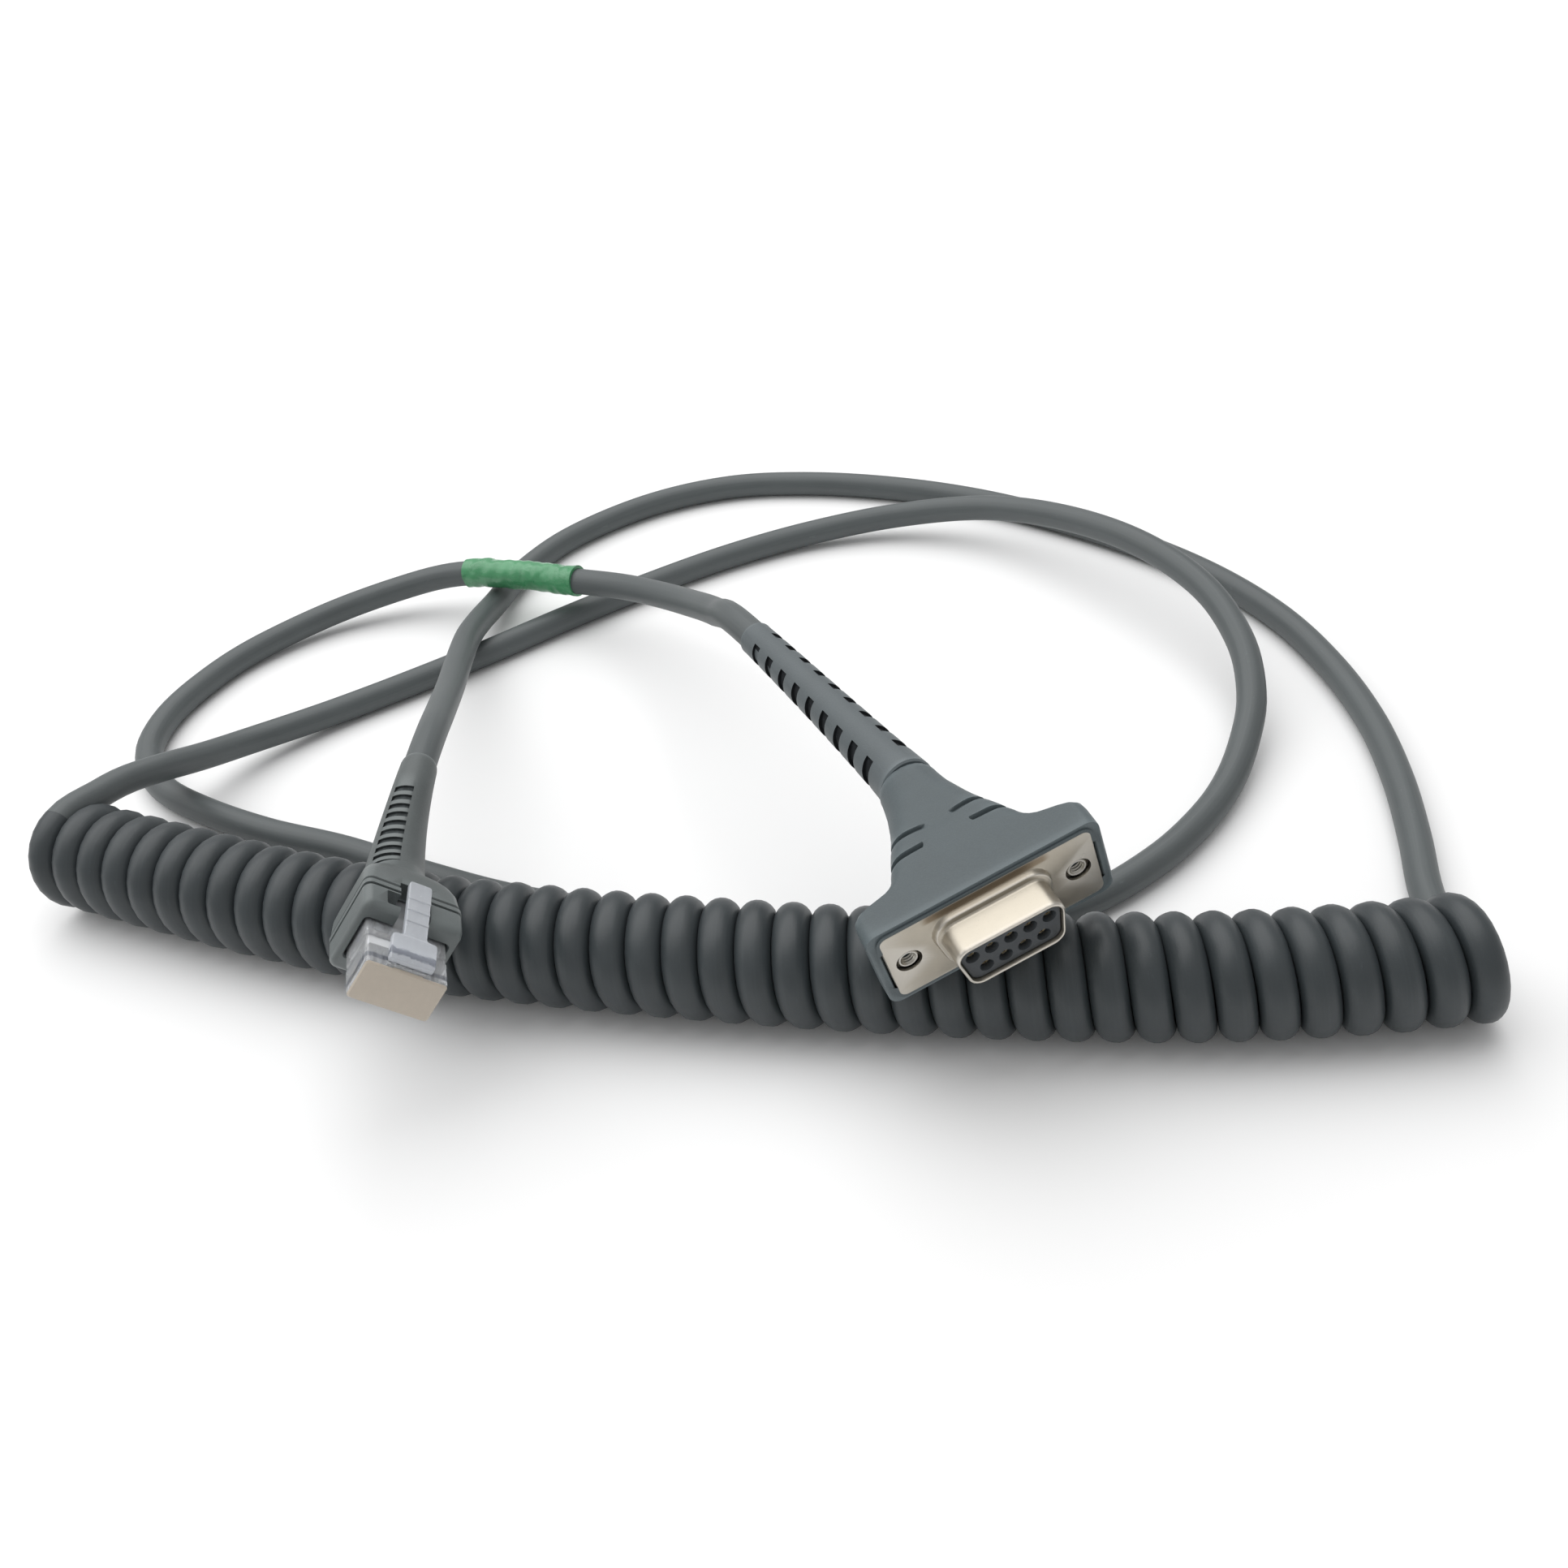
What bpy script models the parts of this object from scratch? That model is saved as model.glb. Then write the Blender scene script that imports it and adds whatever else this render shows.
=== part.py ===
"""Coiled interface cable of a handheld barcode scanner, lying on a bench.

A nine-way D-subminiature socket plug is at the host end and a clear modular plug at the scanner end.
Between them run a straight lead, a close-wound curly section and a longer straight lead.

Each plug is modelled in a frame of its own: +Y is the way it mates, +Z the side that faces up, and the
origin is the centre of its mating face. An empty carries each plug to its place on the bench.
"""

import math

import bmesh
import bpy
from mathutils import Euler, Matrix, Vector

MM = 0.001
GAP = 0.3 * MM

# Cord
CORD_RADIUS = 2.5 * MM
BORE_RADIUS = CORD_RADIUS + GAP
POINT_SPACING = 14.8 * MM
COIL_RADIUS = 9.1 * MM
CORE_RADIUS = 0.35 * MM
TAPE_WALL = 0.35 * MM
TAPE_START = 611 * MM
TAPE_LENGTH = 26 * MM

# Nine-way plug
FLANGE_WIDTH = 30.81 * MM
FLANGE_HEIGHT = 12.55 * MM
PLATE = 0.5 * MM
SCREW_X = 12.495 * MM
SCREW_HOLE = 1.85 * MM
SHELL_WIDTH = 16.4 * MM
SHELL_HEIGHT = 7.9 * MM
SHELL_REACH = 5.9 * MM
SHELL_WALL = 0.4 * MM
CAN_WIDTH = 19.3 * MM
CAN_HEIGHT = 10.7 * MM
CAN_BACK = -5.3 * MM
CONTACT_PITCH = 2.77 * MM
ROW_OFFSET = 1.42 * MM
CONTACT_RADIUS = 0.6 * MM
CONTACT_BACK = -9.4 * MM
HOOD_WIDTH = 33.8 * MM
HOOD_HEIGHT = 15.0 * MM
HOOD_BACK = -27.0 * MM
HOST_JACKET_END = -16.2 * MM
HOST_RELIEF = 46 * MM

# Modular plug
BODY_WIDTH = 11.68 * MM
BODY_HEIGHT = 6.6 * MM
BODY_LENGTH = 21.0 * MM
BLADES = 10
BLADE_PITCH = 1.02 * MM
BLOCK_WIDTH = 14.6 * MM
BLOCK_HEIGHT = 12.6 * MM
BLOCK_FRONT = -9.0 * MM
BLOCK_BACK = -22.0 * MM
SCANNER_JACKET_END = -12.0 * MM
SCANNER_RELIEF = 21 * MM
LATCH_REST = math.radians(14)
LATCH_HINGE = Vector((0, -0.9, 4.3)) * MM

# Places on the bench
BENCH_SHIFT = Vector((11.34, -14.29, 0)) * MM
HOST_PLACE = Vector((24.6, -68.0, 27.0)) * MM
HOST_TURN = Euler((math.radians(-5), math.radians(14), math.radians(196)), "YXZ")
SCANNER_PLACE = Vector((-54.1, -65.5, 25.7)) * MM
SCANNER_TURN = Euler((math.radians(4.6), math.radians(-40.2), math.radians(187.8)), "YXZ")

# Routes, in millimetres on the bench, through the middle of the cord
COIL_ROUTE = [
    (-119.5, -2.9, 9.1), (-102, -12.8, 9.1), (-80.5, -24.4, 9.1), (-58.5, -34.8, 9.1), (-35, -43.4, 9.1),
    (-11, -51, 9.1), (11.5, -57.5, 9.1), (33.5, -63, 9.1), (55, -67.3, 9.1), (76.5, -69.8, 9.1), (90, -70.3, 9.1),
]
SCANNER_ROUTE = [
    (-57.1, -28.8, 24.6), (-55.7, -18, 26), (-54.8, -7, 25.1), (-54.9, 4, 21.9), (-55.5, 18.5, 17),
    (-56, 32.5, 13),
    (-56, 46.5, 9.4), (-55, 56, 6.9), (-53, 66.5, 4.2), (-48, 80.5, 2.75), (-37.5, 93, 2.55), (-20.5, 102.5, 2.55),
    (-2.5, 105.5, 2.55), (15, 102, 2.55), (32.5, 94.5, 2.55), (48.5, 84.5, 2.55), (63, 72, 2.55),
    (76, 58, 2.55), (87, 42, 2.55), (94.5, 25, 2.55), (98, 8, 2.55), (98.8, -8.5, 2.55), (97.3, -24, 2.55),
    (94.5, -38, 2.55), (91.5, -50, 2.55), (90.2, -61.6, 2.55),
]
HOST_ROUTE = [
    (-114.8, 5, 14.6), (-111.5, 9.5, 13.6), (-107, 14.5, 11.6), (-102.5, 21, 8.3), (-96, 29, 4.9), (-83.5, 37, 2.9),
    (-69.5, 43.8, 2.55), (-54, 51.5, 2.55), (-38.5, 60, 2.55), (-21.5, 68.5, 2.55), (-4.5, 75.5, 2.55),
    (13, 79.5, 3), (31, 78.5, 4.8), (48, 71, 8), (61, 58, 11), (72, 41.5, 12.8), (79.5, 25, 12), (82, 10.5, 9.4),
    (80.5, -1.5, 6.4), (76.5, -11, 4.2), (71, -20, 2.9), (64, -28, 2.55), (55, -35.5, 2.55), (43, -42, 2.55),
    (28, -45.5, 2.55), (10, -42.5, 2.55), (-10, -36.8, 2.55), (-28, -30.8, 2.55), (-45, -23.4, 2.55),
    (-60, -14.5, 2.55), (-75, -4.5, 2.55), (-89.5, 3.5, 2.55), (-102.5, 12.5, 2.55), (-112, 21.5, 2.55),
    (-116.8, 32.5, 2.55), (-116, 43.5, 2.55), (-111, 54, 2.55), (-102.5, 64, 2.7), (-88, 72.5, 3.7),
    (-73, 75, 6), (-61, 73, 8.6), (-50, 68.3, 9.9), (-37, 61, 10.6), (-26, 53, 12.2), (-18.5, 43.5, 15),
    (-12.5, 33, 18.6), (-7.5, 20.5, 23.6), (-2.5, 6, 28.2),
]


# --- Points and curves -------------------------------------------------------------------------------


def smooth_line(route, spacing):
    """Points about `spacing` apart along a Catmull-Rom curve through the route's own points."""
    points = [Vector(point) for point in route]
    ends = [points[0] * 2 - points[1]] + points + [points[-1] * 2 - points[-2]]
    fine = []
    for before, start, stop, after in zip(ends, ends[1:], ends[2:], ends[3:]):
        for step in range(24):
            t = step / 24
            fine.append(0.5 * (2 * start + (stop - before) * t + (2 * before - 5 * start + 4 * stop - after) * t ** 2
                               + (3 * start - 3 * stop + after - before) * t ** 3))
    fine.append(points[-1])
    return even_points(fine, spacing)


def even_points(line, spacing):
    """The same line with evenly spaced points."""
    travelled = distances(line)
    count = max(2, round(travelled[-1] / spacing) + 1)
    return [point_at(line, travelled[-1] * index / (count - 1)) for index in range(count)]


def distances(line):
    """Distance travelled at each point of a line."""
    travelled = [0.0]
    for start, stop in zip(line, line[1:]):
        travelled.append(travelled[-1] + (stop - start).length)
    return travelled


def point_at(line, distance):
    """The point that lies `distance` along a line."""
    for start, stop in zip(line, line[1:]):
        step = (stop - start).length
        if distance <= step:
            return start.lerp(stop, distance / step)
        distance -= step
    return line[-1].copy()


def stretch(line, start, stop):
    """The part of a line between two distances along it, with the line's own points."""
    inner = [point for point, distance in zip(line, distances(line)) if start + MM < distance < stop - MM]
    return [point_at(line, start)] + inner + [point_at(line, stop)]


def rounded(corners, radius, steps=3):
    """An outline whose corners are arcs of the given radius."""
    outline = []
    for index, corner in enumerate(corners):
        corner = Vector(corner)
        back = (Vector(corners[index - 1]) - corner).normalized()
        ahead = (Vector(corners[(index + 1) % len(corners)]) - corner).normalized()
        half = back.angle(ahead) / 2
        centre = corner + (back + ahead).normalized() * radius / math.sin(half)
        reach = radius / math.tan(half)
        first = (corner + back * reach - centre).normalized()
        last = (corner + ahead * reach - centre).normalized()
        for step in range(steps + 1):
            outline.append(centre + first.slerp(last, step / steps) * radius)
    return outline


def rectangle(width, height):
    """Corners of a rectangle about the origin."""
    x, z = width / 2, height / 2
    return [(x, z), (-x, z), (-x, -z), (x, -z)]


def d_shape(width, height, radius):
    """Outline of a D-subminiature shell: wide side up, both sides leaning in by 10 degrees."""
    x, z = width / 2, height / 2
    lean = height * math.tan(math.radians(10))
    return rounded([(x, z), (-x, z), (-x + lean, -z), (x - lean, -z)], radius)


def mirrored(half):
    """A closed outline from the half with X positive, given from front to back."""
    return half + [(-x, y) for x, y in reversed(half)]


# --- Objects -----------------------------------------------------------------------------------------


def clear_scene():
    """Remove every object that a new file starts with."""
    for obj in list(bpy.data.objects):
        bpy.data.objects.remove(obj)


def collection(name):
    """A collection of the scene."""
    group = bpy.data.collections.new(name)
    bpy.context.scene.collection.children.link(group)
    return group


def material(name, colour, roughness, metallic=0.0):
    """A plain Principled material."""
    made = bpy.data.materials.new(name)
    made.use_nodes = True
    shader = made.node_tree.nodes["Principled BSDF"]
    shader.inputs["Base Color"].default_value = (*colour, 1)
    shader.inputs["Roughness"].default_value = roughness
    shader.inputs["Metallic"].default_value = metallic
    return made


def empty(name, place, turn, parent=None):
    """A frame that other objects are parented to."""
    frame = bpy.data.objects.new(name, None)
    bpy.context.scene.collection.objects.link(frame)
    frame.location = place
    frame.rotation_mode = turn.order
    frame.rotation_euler = turn
    frame.parent = parent
    return frame


def add(name, mesh, parent, paint=None):
    """A sub-part, or a cutter where no material is given."""
    obj = bpy.data.objects.new(name, mesh)
    obj.parent = parent
    if paint:
        PARTS.objects.link(obj)
        obj.data.materials.clear()
        obj.data.materials.append(paint)
    else:
        CUTTERS.objects.link(obj)
        obj.hide_render = True
        obj.display_type = "WIRE"
    return obj


def box_mesh(size, centre):
    """A box."""
    mesh = bpy.data.meshes.new("box")
    shape = bmesh.new()
    place = Matrix.Translation(Vector(centre)) @ Matrix.Diagonal((*size, 1))
    bmesh.ops.create_cube(shape, size=1, matrix=place)
    shape.to_mesh(mesh)
    shape.free()
    return mesh


def rod_mesh(radius, front, back, x=0.0, z=0.0, sides=16, tip=None):
    """A rod or a cone along Y."""
    mesh = bpy.data.meshes.new("rod")
    shape = bmesh.new()
    place = Matrix.Translation((x, (front + back) / 2, z)) @ Matrix.Rotation(-math.pi / 2, 4, "X")
    bmesh.ops.create_cone(shape, cap_ends=True, segments=sides, radius1=radius,
                          radius2=radius if tip is None else tip, depth=front - back, matrix=place)
    shape.to_mesh(mesh)
    shape.free()
    return mesh


def solid(curve, turn=Matrix.Identity(4)):
    """The closed mesh of a curve, with its caps welded."""
    obj = bpy.data.objects.new("curve", curve)
    bpy.context.scene.collection.objects.link(obj)
    evaluated = obj.evaluated_get(bpy.context.evaluated_depsgraph_get())
    mesh = bpy.data.meshes.new_from_object(evaluated)
    bpy.data.objects.remove(obj)
    shape = bmesh.new()
    shape.from_mesh(mesh)
    bmesh.ops.remove_doubles(shape, verts=shape.verts, dist=0.000001)
    bmesh.ops.transform(shape, matrix=turn, verts=shape.verts)
    bmesh.ops.recalc_face_normals(shape, faces=shape.faces)
    shape.to_mesh(mesh)
    shape.free()
    return mesh


def plate_mesh(outline, low, high, axis):
    """A flat outline made solid between two places along an axis, Y or Z."""
    curve = bpy.data.curves.new("outline", "CURVE")
    curve.dimensions = "2D"
    curve.fill_mode = "BOTH"
    curve.extrude = (high - low) / 2
    spline = curve.splines.new("POLY")
    spline.points.add(len(outline) - 1)
    for point, corner in zip(spline.points, outline):
        point.co = (corner[0], corner[1], 0, 1)
    spline.use_cyclic_u = True
    turn = Matrix.Identity(4) if axis == "Z" else Matrix.Rotation(math.pi / 2, 4, "X")
    along = Vector((0, 0, 1)) if axis == "Z" else Vector((0, 1, 0))
    return solid(curve, Matrix.Translation(along * (low + high) / 2) @ turn)


def tube_curve(line, radius, rounds=2, ends=None):
    """A round tube along a line. `ends` gives the radius at its two ends as shares of `radius`."""
    curve = bpy.data.curves.new("tube", "CURVE")
    curve.dimensions = "3D"
    curve.twist_mode = "Z_UP"
    curve.bevel_depth = radius
    curve.bevel_resolution = rounds
    curve.use_fill_caps = True
    spline = curve.splines.new("POLY")
    spline.points.add(len(line) - 1)
    travelled = distances(line)
    for point, place, distance in zip(spline.points, line, travelled):
        point.co = (*place, 1)
        if ends:
            point.radius = ends[0] + (ends[1] - ends[0]) * distance / travelled[-1]
    return curve


def shape_with(obj, operation, meshes):
    """Cut an object by meshes in its own frame, or join or intersect it with them."""
    for mesh in meshes:
        tool = add(f"{obj.name}_{operation.lower()}_{len(obj.modifiers)}", mesh, obj.parent)
        change = obj.modifiers.new(operation.title(), "BOOLEAN")
        change.operation = operation
        change.object = tool
    return obj


def gathered(meshes):
    """One mesh of several that don't touch, to cut with in one step."""
    shape = bmesh.new()
    for mesh in meshes:
        shape.from_mesh(mesh)
    whole = bpy.data.meshes.new("gathered")
    shape.to_mesh(whole)
    shape.free()
    return whole


# --- Nine-way plug -----------------------------------------------------------------------------------


def contact_places():
    """X and Z of the nine contacts: five in the upper row, four in the lower."""
    upper = [((2 - column) * CONTACT_PITCH, ROW_OFFSET) for column in range(5)]
    lower = [((1.5 - column) * CONTACT_PITCH, -ROW_OFFSET) for column in range(4)]
    return upper + lower


def screw_holes(front, back, radius=SCREW_HOLE, sides=20):
    """Cutters for the two screw holes."""
    return gathered([rod_mesh(radius, front, back, x, sides=sides) for x in (SCREW_X, -SCREW_X)])


def make_shells(frame):
    """The two pressed metal shells, flange to flange."""
    flange = rounded(rectangle(FLANGE_WIDTH, FLANGE_HEIGHT), 1.2 * MM)
    nose = d_shape(SHELL_WIDTH, SHELL_HEIGHT, 2.2 * MM)
    nose_inside = d_shape(SHELL_WIDTH - 2 * SHELL_WALL, SHELL_HEIGHT - 2 * SHELL_WALL, 1.8 * MM)
    front = add("front_shell", plate_mesh(flange, -PLATE, 0, "Y"), frame, NICKEL)
    shape_with(front, "UNION", [plate_mesh(nose, -PLATE / 2, SHELL_REACH, "Y")])
    shape_with(front, "DIFFERENCE", [plate_mesh(nose_inside, -1 * MM, SHELL_REACH + 1 * MM, "Y"),
                                     screw_holes(1 * MM, -1 * MM)])
    top = -PLATE - GAP
    can = d_shape(CAN_WIDTH, CAN_HEIGHT, 1.6 * MM)
    can_inside = d_shape(CAN_WIDTH - 2 * SHELL_WALL, CAN_HEIGHT - 2 * SHELL_WALL, 1.2 * MM)
    rear = add("rear_shell", plate_mesh(flange, top - PLATE, top, "Y"), frame, NICKEL)
    shape_with(rear, "UNION", [plate_mesh(can, CAN_BACK, top - PLATE / 2, "Y")])
    shape_with(rear, "DIFFERENCE", [plate_mesh(can_inside, CAN_BACK - 1 * MM, top + 1 * MM, "Y"),
                                    screw_holes(1 * MM, -2 * MM)])


def make_insulators(frame):
    """The black block that the contacts sit in, in two halves."""
    trim = 2 * (SHELL_WALL + GAP)
    front_shape = d_shape(SHELL_WIDTH - trim, SHELL_HEIGHT - trim, 1.5 * MM)
    rear_shape = d_shape(CAN_WIDTH - trim, CAN_HEIGHT - trim, 0.9 * MM)
    bores = gathered([rod_mesh(CONTACT_RADIUS + GAP, SHELL_REACH + 1 * MM, -9 * MM, x, z, 12)
                      for x, z in contact_places()])
    front = add("front_insulator", plate_mesh(front_shape, -2.7 * MM, SHELL_REACH - 0.4 * MM, "Y"), frame, BLACK)
    shape_with(front, "DIFFERENCE", [bores])
    rear = add("rear_insulator", plate_mesh(rear_shape, -5.6 * MM, -3.0 * MM, "Y"), frame, BLACK)
    shape_with(rear, "DIFFERENCE", [bores.copy()])


def make_contacts(frame):
    """Nine turned socket contacts with a solder cup, and the five cores that reach them."""
    jacket = HOST_JACKET_END + GAP
    for number, (x, z) in enumerate(contact_places(), 1):
        contact = add(f"socket_contact_{number}", rod_mesh(CONTACT_RADIUS, 4.6 * MM, CONTACT_BACK, x, z, 12),
                      frame, GOLD)
        shape_with(contact, "DIFFERENCE", [rod_mesh(0.3 * MM, 6 * MM, -1 * MM, x, z, 8)])
    for number, (x, z) in enumerate(contact_places()[:5], 1):
        line = [Vector((x, CONTACT_BACK - GAP, z)), Vector((x, -10.9 * MM, z)), Vector((x * 0.62, -12.6 * MM, z * 0.7)),
                Vector((x * 0.34, -14.4 * MM, z * 0.3)), Vector((x * 0.3, jacket, 0))]
        add(f"host_core_{number}", solid(tube_curve(line, CORE_RADIUS, 0)), frame, CORE_RED)


def make_threaded_inserts(frame):
    """The threaded inserts behind the flange that the port's screws reach."""
    for side, x in (("left", SCREW_X), ("right", -SCREW_X)):
        insert = add(f"threaded_insert_{side}", rod_mesh(2.75 * MM, -1.6 * MM, -4.0 * MM, x, sides=6), frame, NICKEL)
        shape_with(insert, "UNION", [rod_mesh(1.5 * MM, -0.3 * MM, -2.4 * MM, x, sides=20)])
        shape_with(insert, "DIFFERENCE", [rod_mesh(1.1 * MM, 1 * MM, -5 * MM, x, sides=16)])


def make_hood(frame):
    """The moulded hood: a rim round the flange, two ears and a neck."""
    x = HOOD_WIDTH / 2
    half = [(x, 0), (x, -4.2 * MM), (15.2 * MM, -5.2 * MM), (12.4 * MM, -5.8 * MM), (10.4 * MM, -7.0 * MM),
            (9.3 * MM, -9.0 * MM), (8.4 * MM, -12.5 * MM), (7.2 * MM, -17.0 * MM), (6.0 * MM, -22.0 * MM),
            (5.4 * MM, HOOD_BACK)]
    hood = add("host_hood", plate_mesh(mirrored(half), -HOOD_HEIGHT / 2, HOOD_HEIGHT / 2, "Z"), frame, PVC)
    side = [(HOOD_HEIGHT / 2, 1 * MM), (HOOD_HEIGHT / 2, -8 * MM), (5.5 * MM, -18 * MM), (5.0 * MM, HOOD_BACK - 1 * MM)]
    profile = plate_mesh(mirrored(side), -x - 1 * MM, x + 1 * MM, "Z")
    profile.transform(Matrix.Rotation(math.pi / 2, 4, "Y"))
    shape_with(hood, "INTERSECT", [profile])
    pocket = rounded(rectangle(FLANGE_WIDTH + 2 * GAP, FLANGE_HEIGHT + 2 * GAP), 1.5 * MM)
    can = rounded(rectangle(CAN_WIDTH + 2 * GAP, CAN_HEIGHT + 2 * GAP), 1.5 * MM)
    chamber = [(8.2 * MM, -5 * MM), (7.4 * MM, -9.5 * MM), (6.6 * MM, -13.5 * MM), (3.2 * MM, -16.5 * MM)]
    shape_with(hood, "DIFFERENCE", [
        plate_mesh(pocket, -1.6 * MM, 1 * MM, "Y"),
        plate_mesh(can, CAN_BACK - 2 * GAP, 0, "Y"),
        screw_holes(0, -4.3 * MM, 3.1 * MM, 16),
        plate_mesh(mirrored(chamber), -4.2 * MM, 4.2 * MM, "Z"),
        rod_mesh(BORE_RADIUS, -15 * MM, HOOD_BACK - 2 * MM, sides=16),
        rod_mesh(3.8 * MM, -15 * MM, -23 * MM, sides=16),
    ])
    ferrule = add("cable_ferrule", rod_mesh(3.4 * MM, -17 * MM, -22.4 * MM, sides=20), frame, NICKEL)
    shape_with(ferrule, "DIFFERENCE", [rod_mesh(BORE_RADIUS, 0, -30 * MM, sides=16)])


def relief_slots(line, start, length, count, depth, width, reach):
    """Cutters for the slots down both sides of a strain relief, square to its own line."""
    cutters = []
    for index in range(count):
        share = (index + 0.5) / count
        place = point_at(line, start + length * share)
        ahead = (point_at(line, start + length * share + 1 * MM) - place).normalized()
        side = ahead.cross(Vector((0, 0, 1))).normalized()
        up = side.cross(ahead)
        turn = Matrix((side, ahead, up)).transposed().to_4x4()
        for sign in (1, -1):
            slot = box_mesh((3 * MM, width, depth), (sign * (reach(share) + 1.5 * MM), 0, 0))
            slot.transform(Matrix.Translation(place) @ turn)
            cutters.append(slot)
    return gathered(cutters)


def make_host_relief(bench, line):
    """The slotted strain relief behind the hood, which bends with the lead."""
    total = distances(line)[-1]
    behind_hood = total - (HOST_JACKET_END - HOOD_BACK)
    start = behind_hood - HOST_RELIEF
    path = stretch(line, start, behind_hood - GAP)
    relief = add("host_strain_relief", solid(tube_curve(path, 4.3 * MM, 4, (0.76, 1.0))), bench, PVC)
    bore = stretch(line, start - 2 * MM, behind_hood + 2 * MM)
    slots = relief_slots(line, start + 2 * MM, HOST_RELIEF - 5 * MM, 9, 3.6 * MM, 1.3 * MM,
                         lambda share: (2.95 + 0.55 * share) * MM)
    shape_with(relief, "DIFFERENCE", [solid(tube_curve(bore, BORE_RADIUS, 2)), slots])


# --- Modular plug ------------------------------------------------------------------------------------


def make_plug_body(frame):
    """The clear body, open at the back for the cord and slit at the front for the blades."""
    body = add("plug_body", box_mesh((BODY_WIDTH, BODY_LENGTH, BODY_HEIGHT), (0, -BODY_LENGTH / 2, 0)), frame, CLEAR)
    floor = -BODY_HEIGHT / 2
    slits = [box_mesh((0.62 * MM, 5.6 * MM, 4.2 * MM), (x, -2.8 * MM + 0.2 * MM, floor + 2.0 * MM))
             for x in blade_places()]
    shape_with(body, "DIFFERENCE", [
        box_mesh((10.2 * MM, 15 * MM, 5.4 * MM), (0, -15.1 * MM, 0)),
        gathered(slits),
    ])


def blade_places():
    """X of the blades, side by side across the plug."""
    return [(index - (BLADES - 1) / 2) * BLADE_PITCH for index in range(BLADES)]


def make_blades(frame):
    """The gold-plated blades, the wire guide behind them and the cores that it leads in."""
    for number, x in enumerate(blade_places(), 1):
        blade = box_mesh((0.32 * MM, 3.2 * MM, 2.6 * MM), (x, -2.9 * MM, -BODY_HEIGHT / 2 + 1.6 * MM))
        add(f"blade_contact_{number}", blade, frame, GOLD)
    guide = add("wire_guide", box_mesh((9.4 * MM, 2.2 * MM, 4.4 * MM), (0, -9.0 * MM, 0)), frame, CLEAR)
    holes = [rod_mesh(CORE_RADIUS + 0.25 * MM, -7 * MM, -11 * MM, x, sides=8) for x in blade_places()[1::2]]
    shape_with(guide, "DIFFERENCE", [gathered(holes)])
    for number, x in enumerate(blade_places()[1::2], 1):
        core = rod_mesh(CORE_RADIUS, -7.9 * MM, SCANNER_JACKET_END + GAP, x, sides=8)
        add(f"scanner_core_{number}", core, frame, CORE_RED)


def make_latch(frame):
    """The latch: a wide shoulder from the nose back, then a narrow tab to press."""
    hinge = empty("latch_hinge", LATCH_HINGE, Euler((-LATCH_REST, 0, 0)), frame)
    half = [(3.2 * MM, 0.3 * MM), (3.2 * MM, -4.0 * MM), (1.65 * MM, -4.4 * MM), (1.65 * MM, -14.0 * MM)]
    lever = plate_mesh(mirrored(half), -0.5 * MM, 0.5 * MM, "Z")
    add("latch_tab", lever, hinge, CLEAR)


def make_boot(frame, bench, line):
    """The moulded boot: a block over the back of the plug, run out into a slotted strain relief."""
    length = BLOCK_FRONT - BLOCK_BACK
    block = rounded(rectangle(BLOCK_WIDTH, BLOCK_HEIGHT), 1.2 * MM)
    mesh = plate_mesh(block, BLOCK_BACK, BLOCK_FRONT, "Y")
    mesh.transform(frame.matrix_world)
    boot = add("plug_boot", mesh, bench, PVC)
    start = SCANNER_JACKET_END - BLOCK_BACK
    path = stretch(line, start - 3 * MM, start + SCANNER_RELIEF)
    bore = stretch(line, start - 4 * MM, start + SCANNER_RELIEF + 2 * MM)
    socket = box_mesh((BODY_WIDTH + 2 * GAP, length, BODY_HEIGHT + 2 * GAP),
                      (0, -BODY_LENGTH - GAP + length / 2, 0))
    mouth = box_mesh((8.4 * MM, 3 * MM, 5 * MM), (0, BLOCK_FRONT - 1.0 * MM, BODY_HEIGHT / 2 + 2.5 * MM))
    window = box_mesh((4.4 * MM, 7.6 * MM, 5 * MM), (0, BLOCK_FRONT - 3.2 * MM, BODY_HEIGHT / 2 + 2.5 * MM))
    for cutter in (socket, mouth, window):
        cutter.transform(frame.matrix_world)
    slots = relief_slots(line, start + 1.5 * MM, SCANNER_RELIEF - 4 * MM, 8, 3.4 * MM, 0.9 * MM,
                         lambda share: (3.6 - 0.7 * share) * MM)
    shape_with(boot, "UNION", [solid(tube_curve(path, 5.2 * MM, 4, (1.0, 0.62)))])
    shape_with(boot, "DIFFERENCE", [socket, mouth, window, solid(tube_curve(bore, BORE_RADIUS, 2)), slots])


# --- Cords -------------------------------------------------------------------------------------------


def in_metres(route):
    """A route's points in metres."""
    return [Vector(point) * MM for point in route]


def scanner_line(frame):
    """The scanner lead from inside its plug to the curly section."""
    inside = [frame.matrix_world @ Vector((0, y, 0)) for y in (SCANNER_JACKET_END, -17 * MM, BLOCK_BACK, -27 * MM)]
    return smooth_line(inside + in_metres(SCANNER_ROUTE), POINT_SPACING)


def host_line(frame):
    """The host lead from the curly section to inside its plug."""
    inside = [frame.matrix_world @ Vector((0, y, 0)) for y in (-40 * MM, -30 * MM, -22 * MM, HOST_JACKET_END)]
    return smooth_line(in_metres(HOST_ROUTE) + inside, POINT_SPACING)


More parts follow.
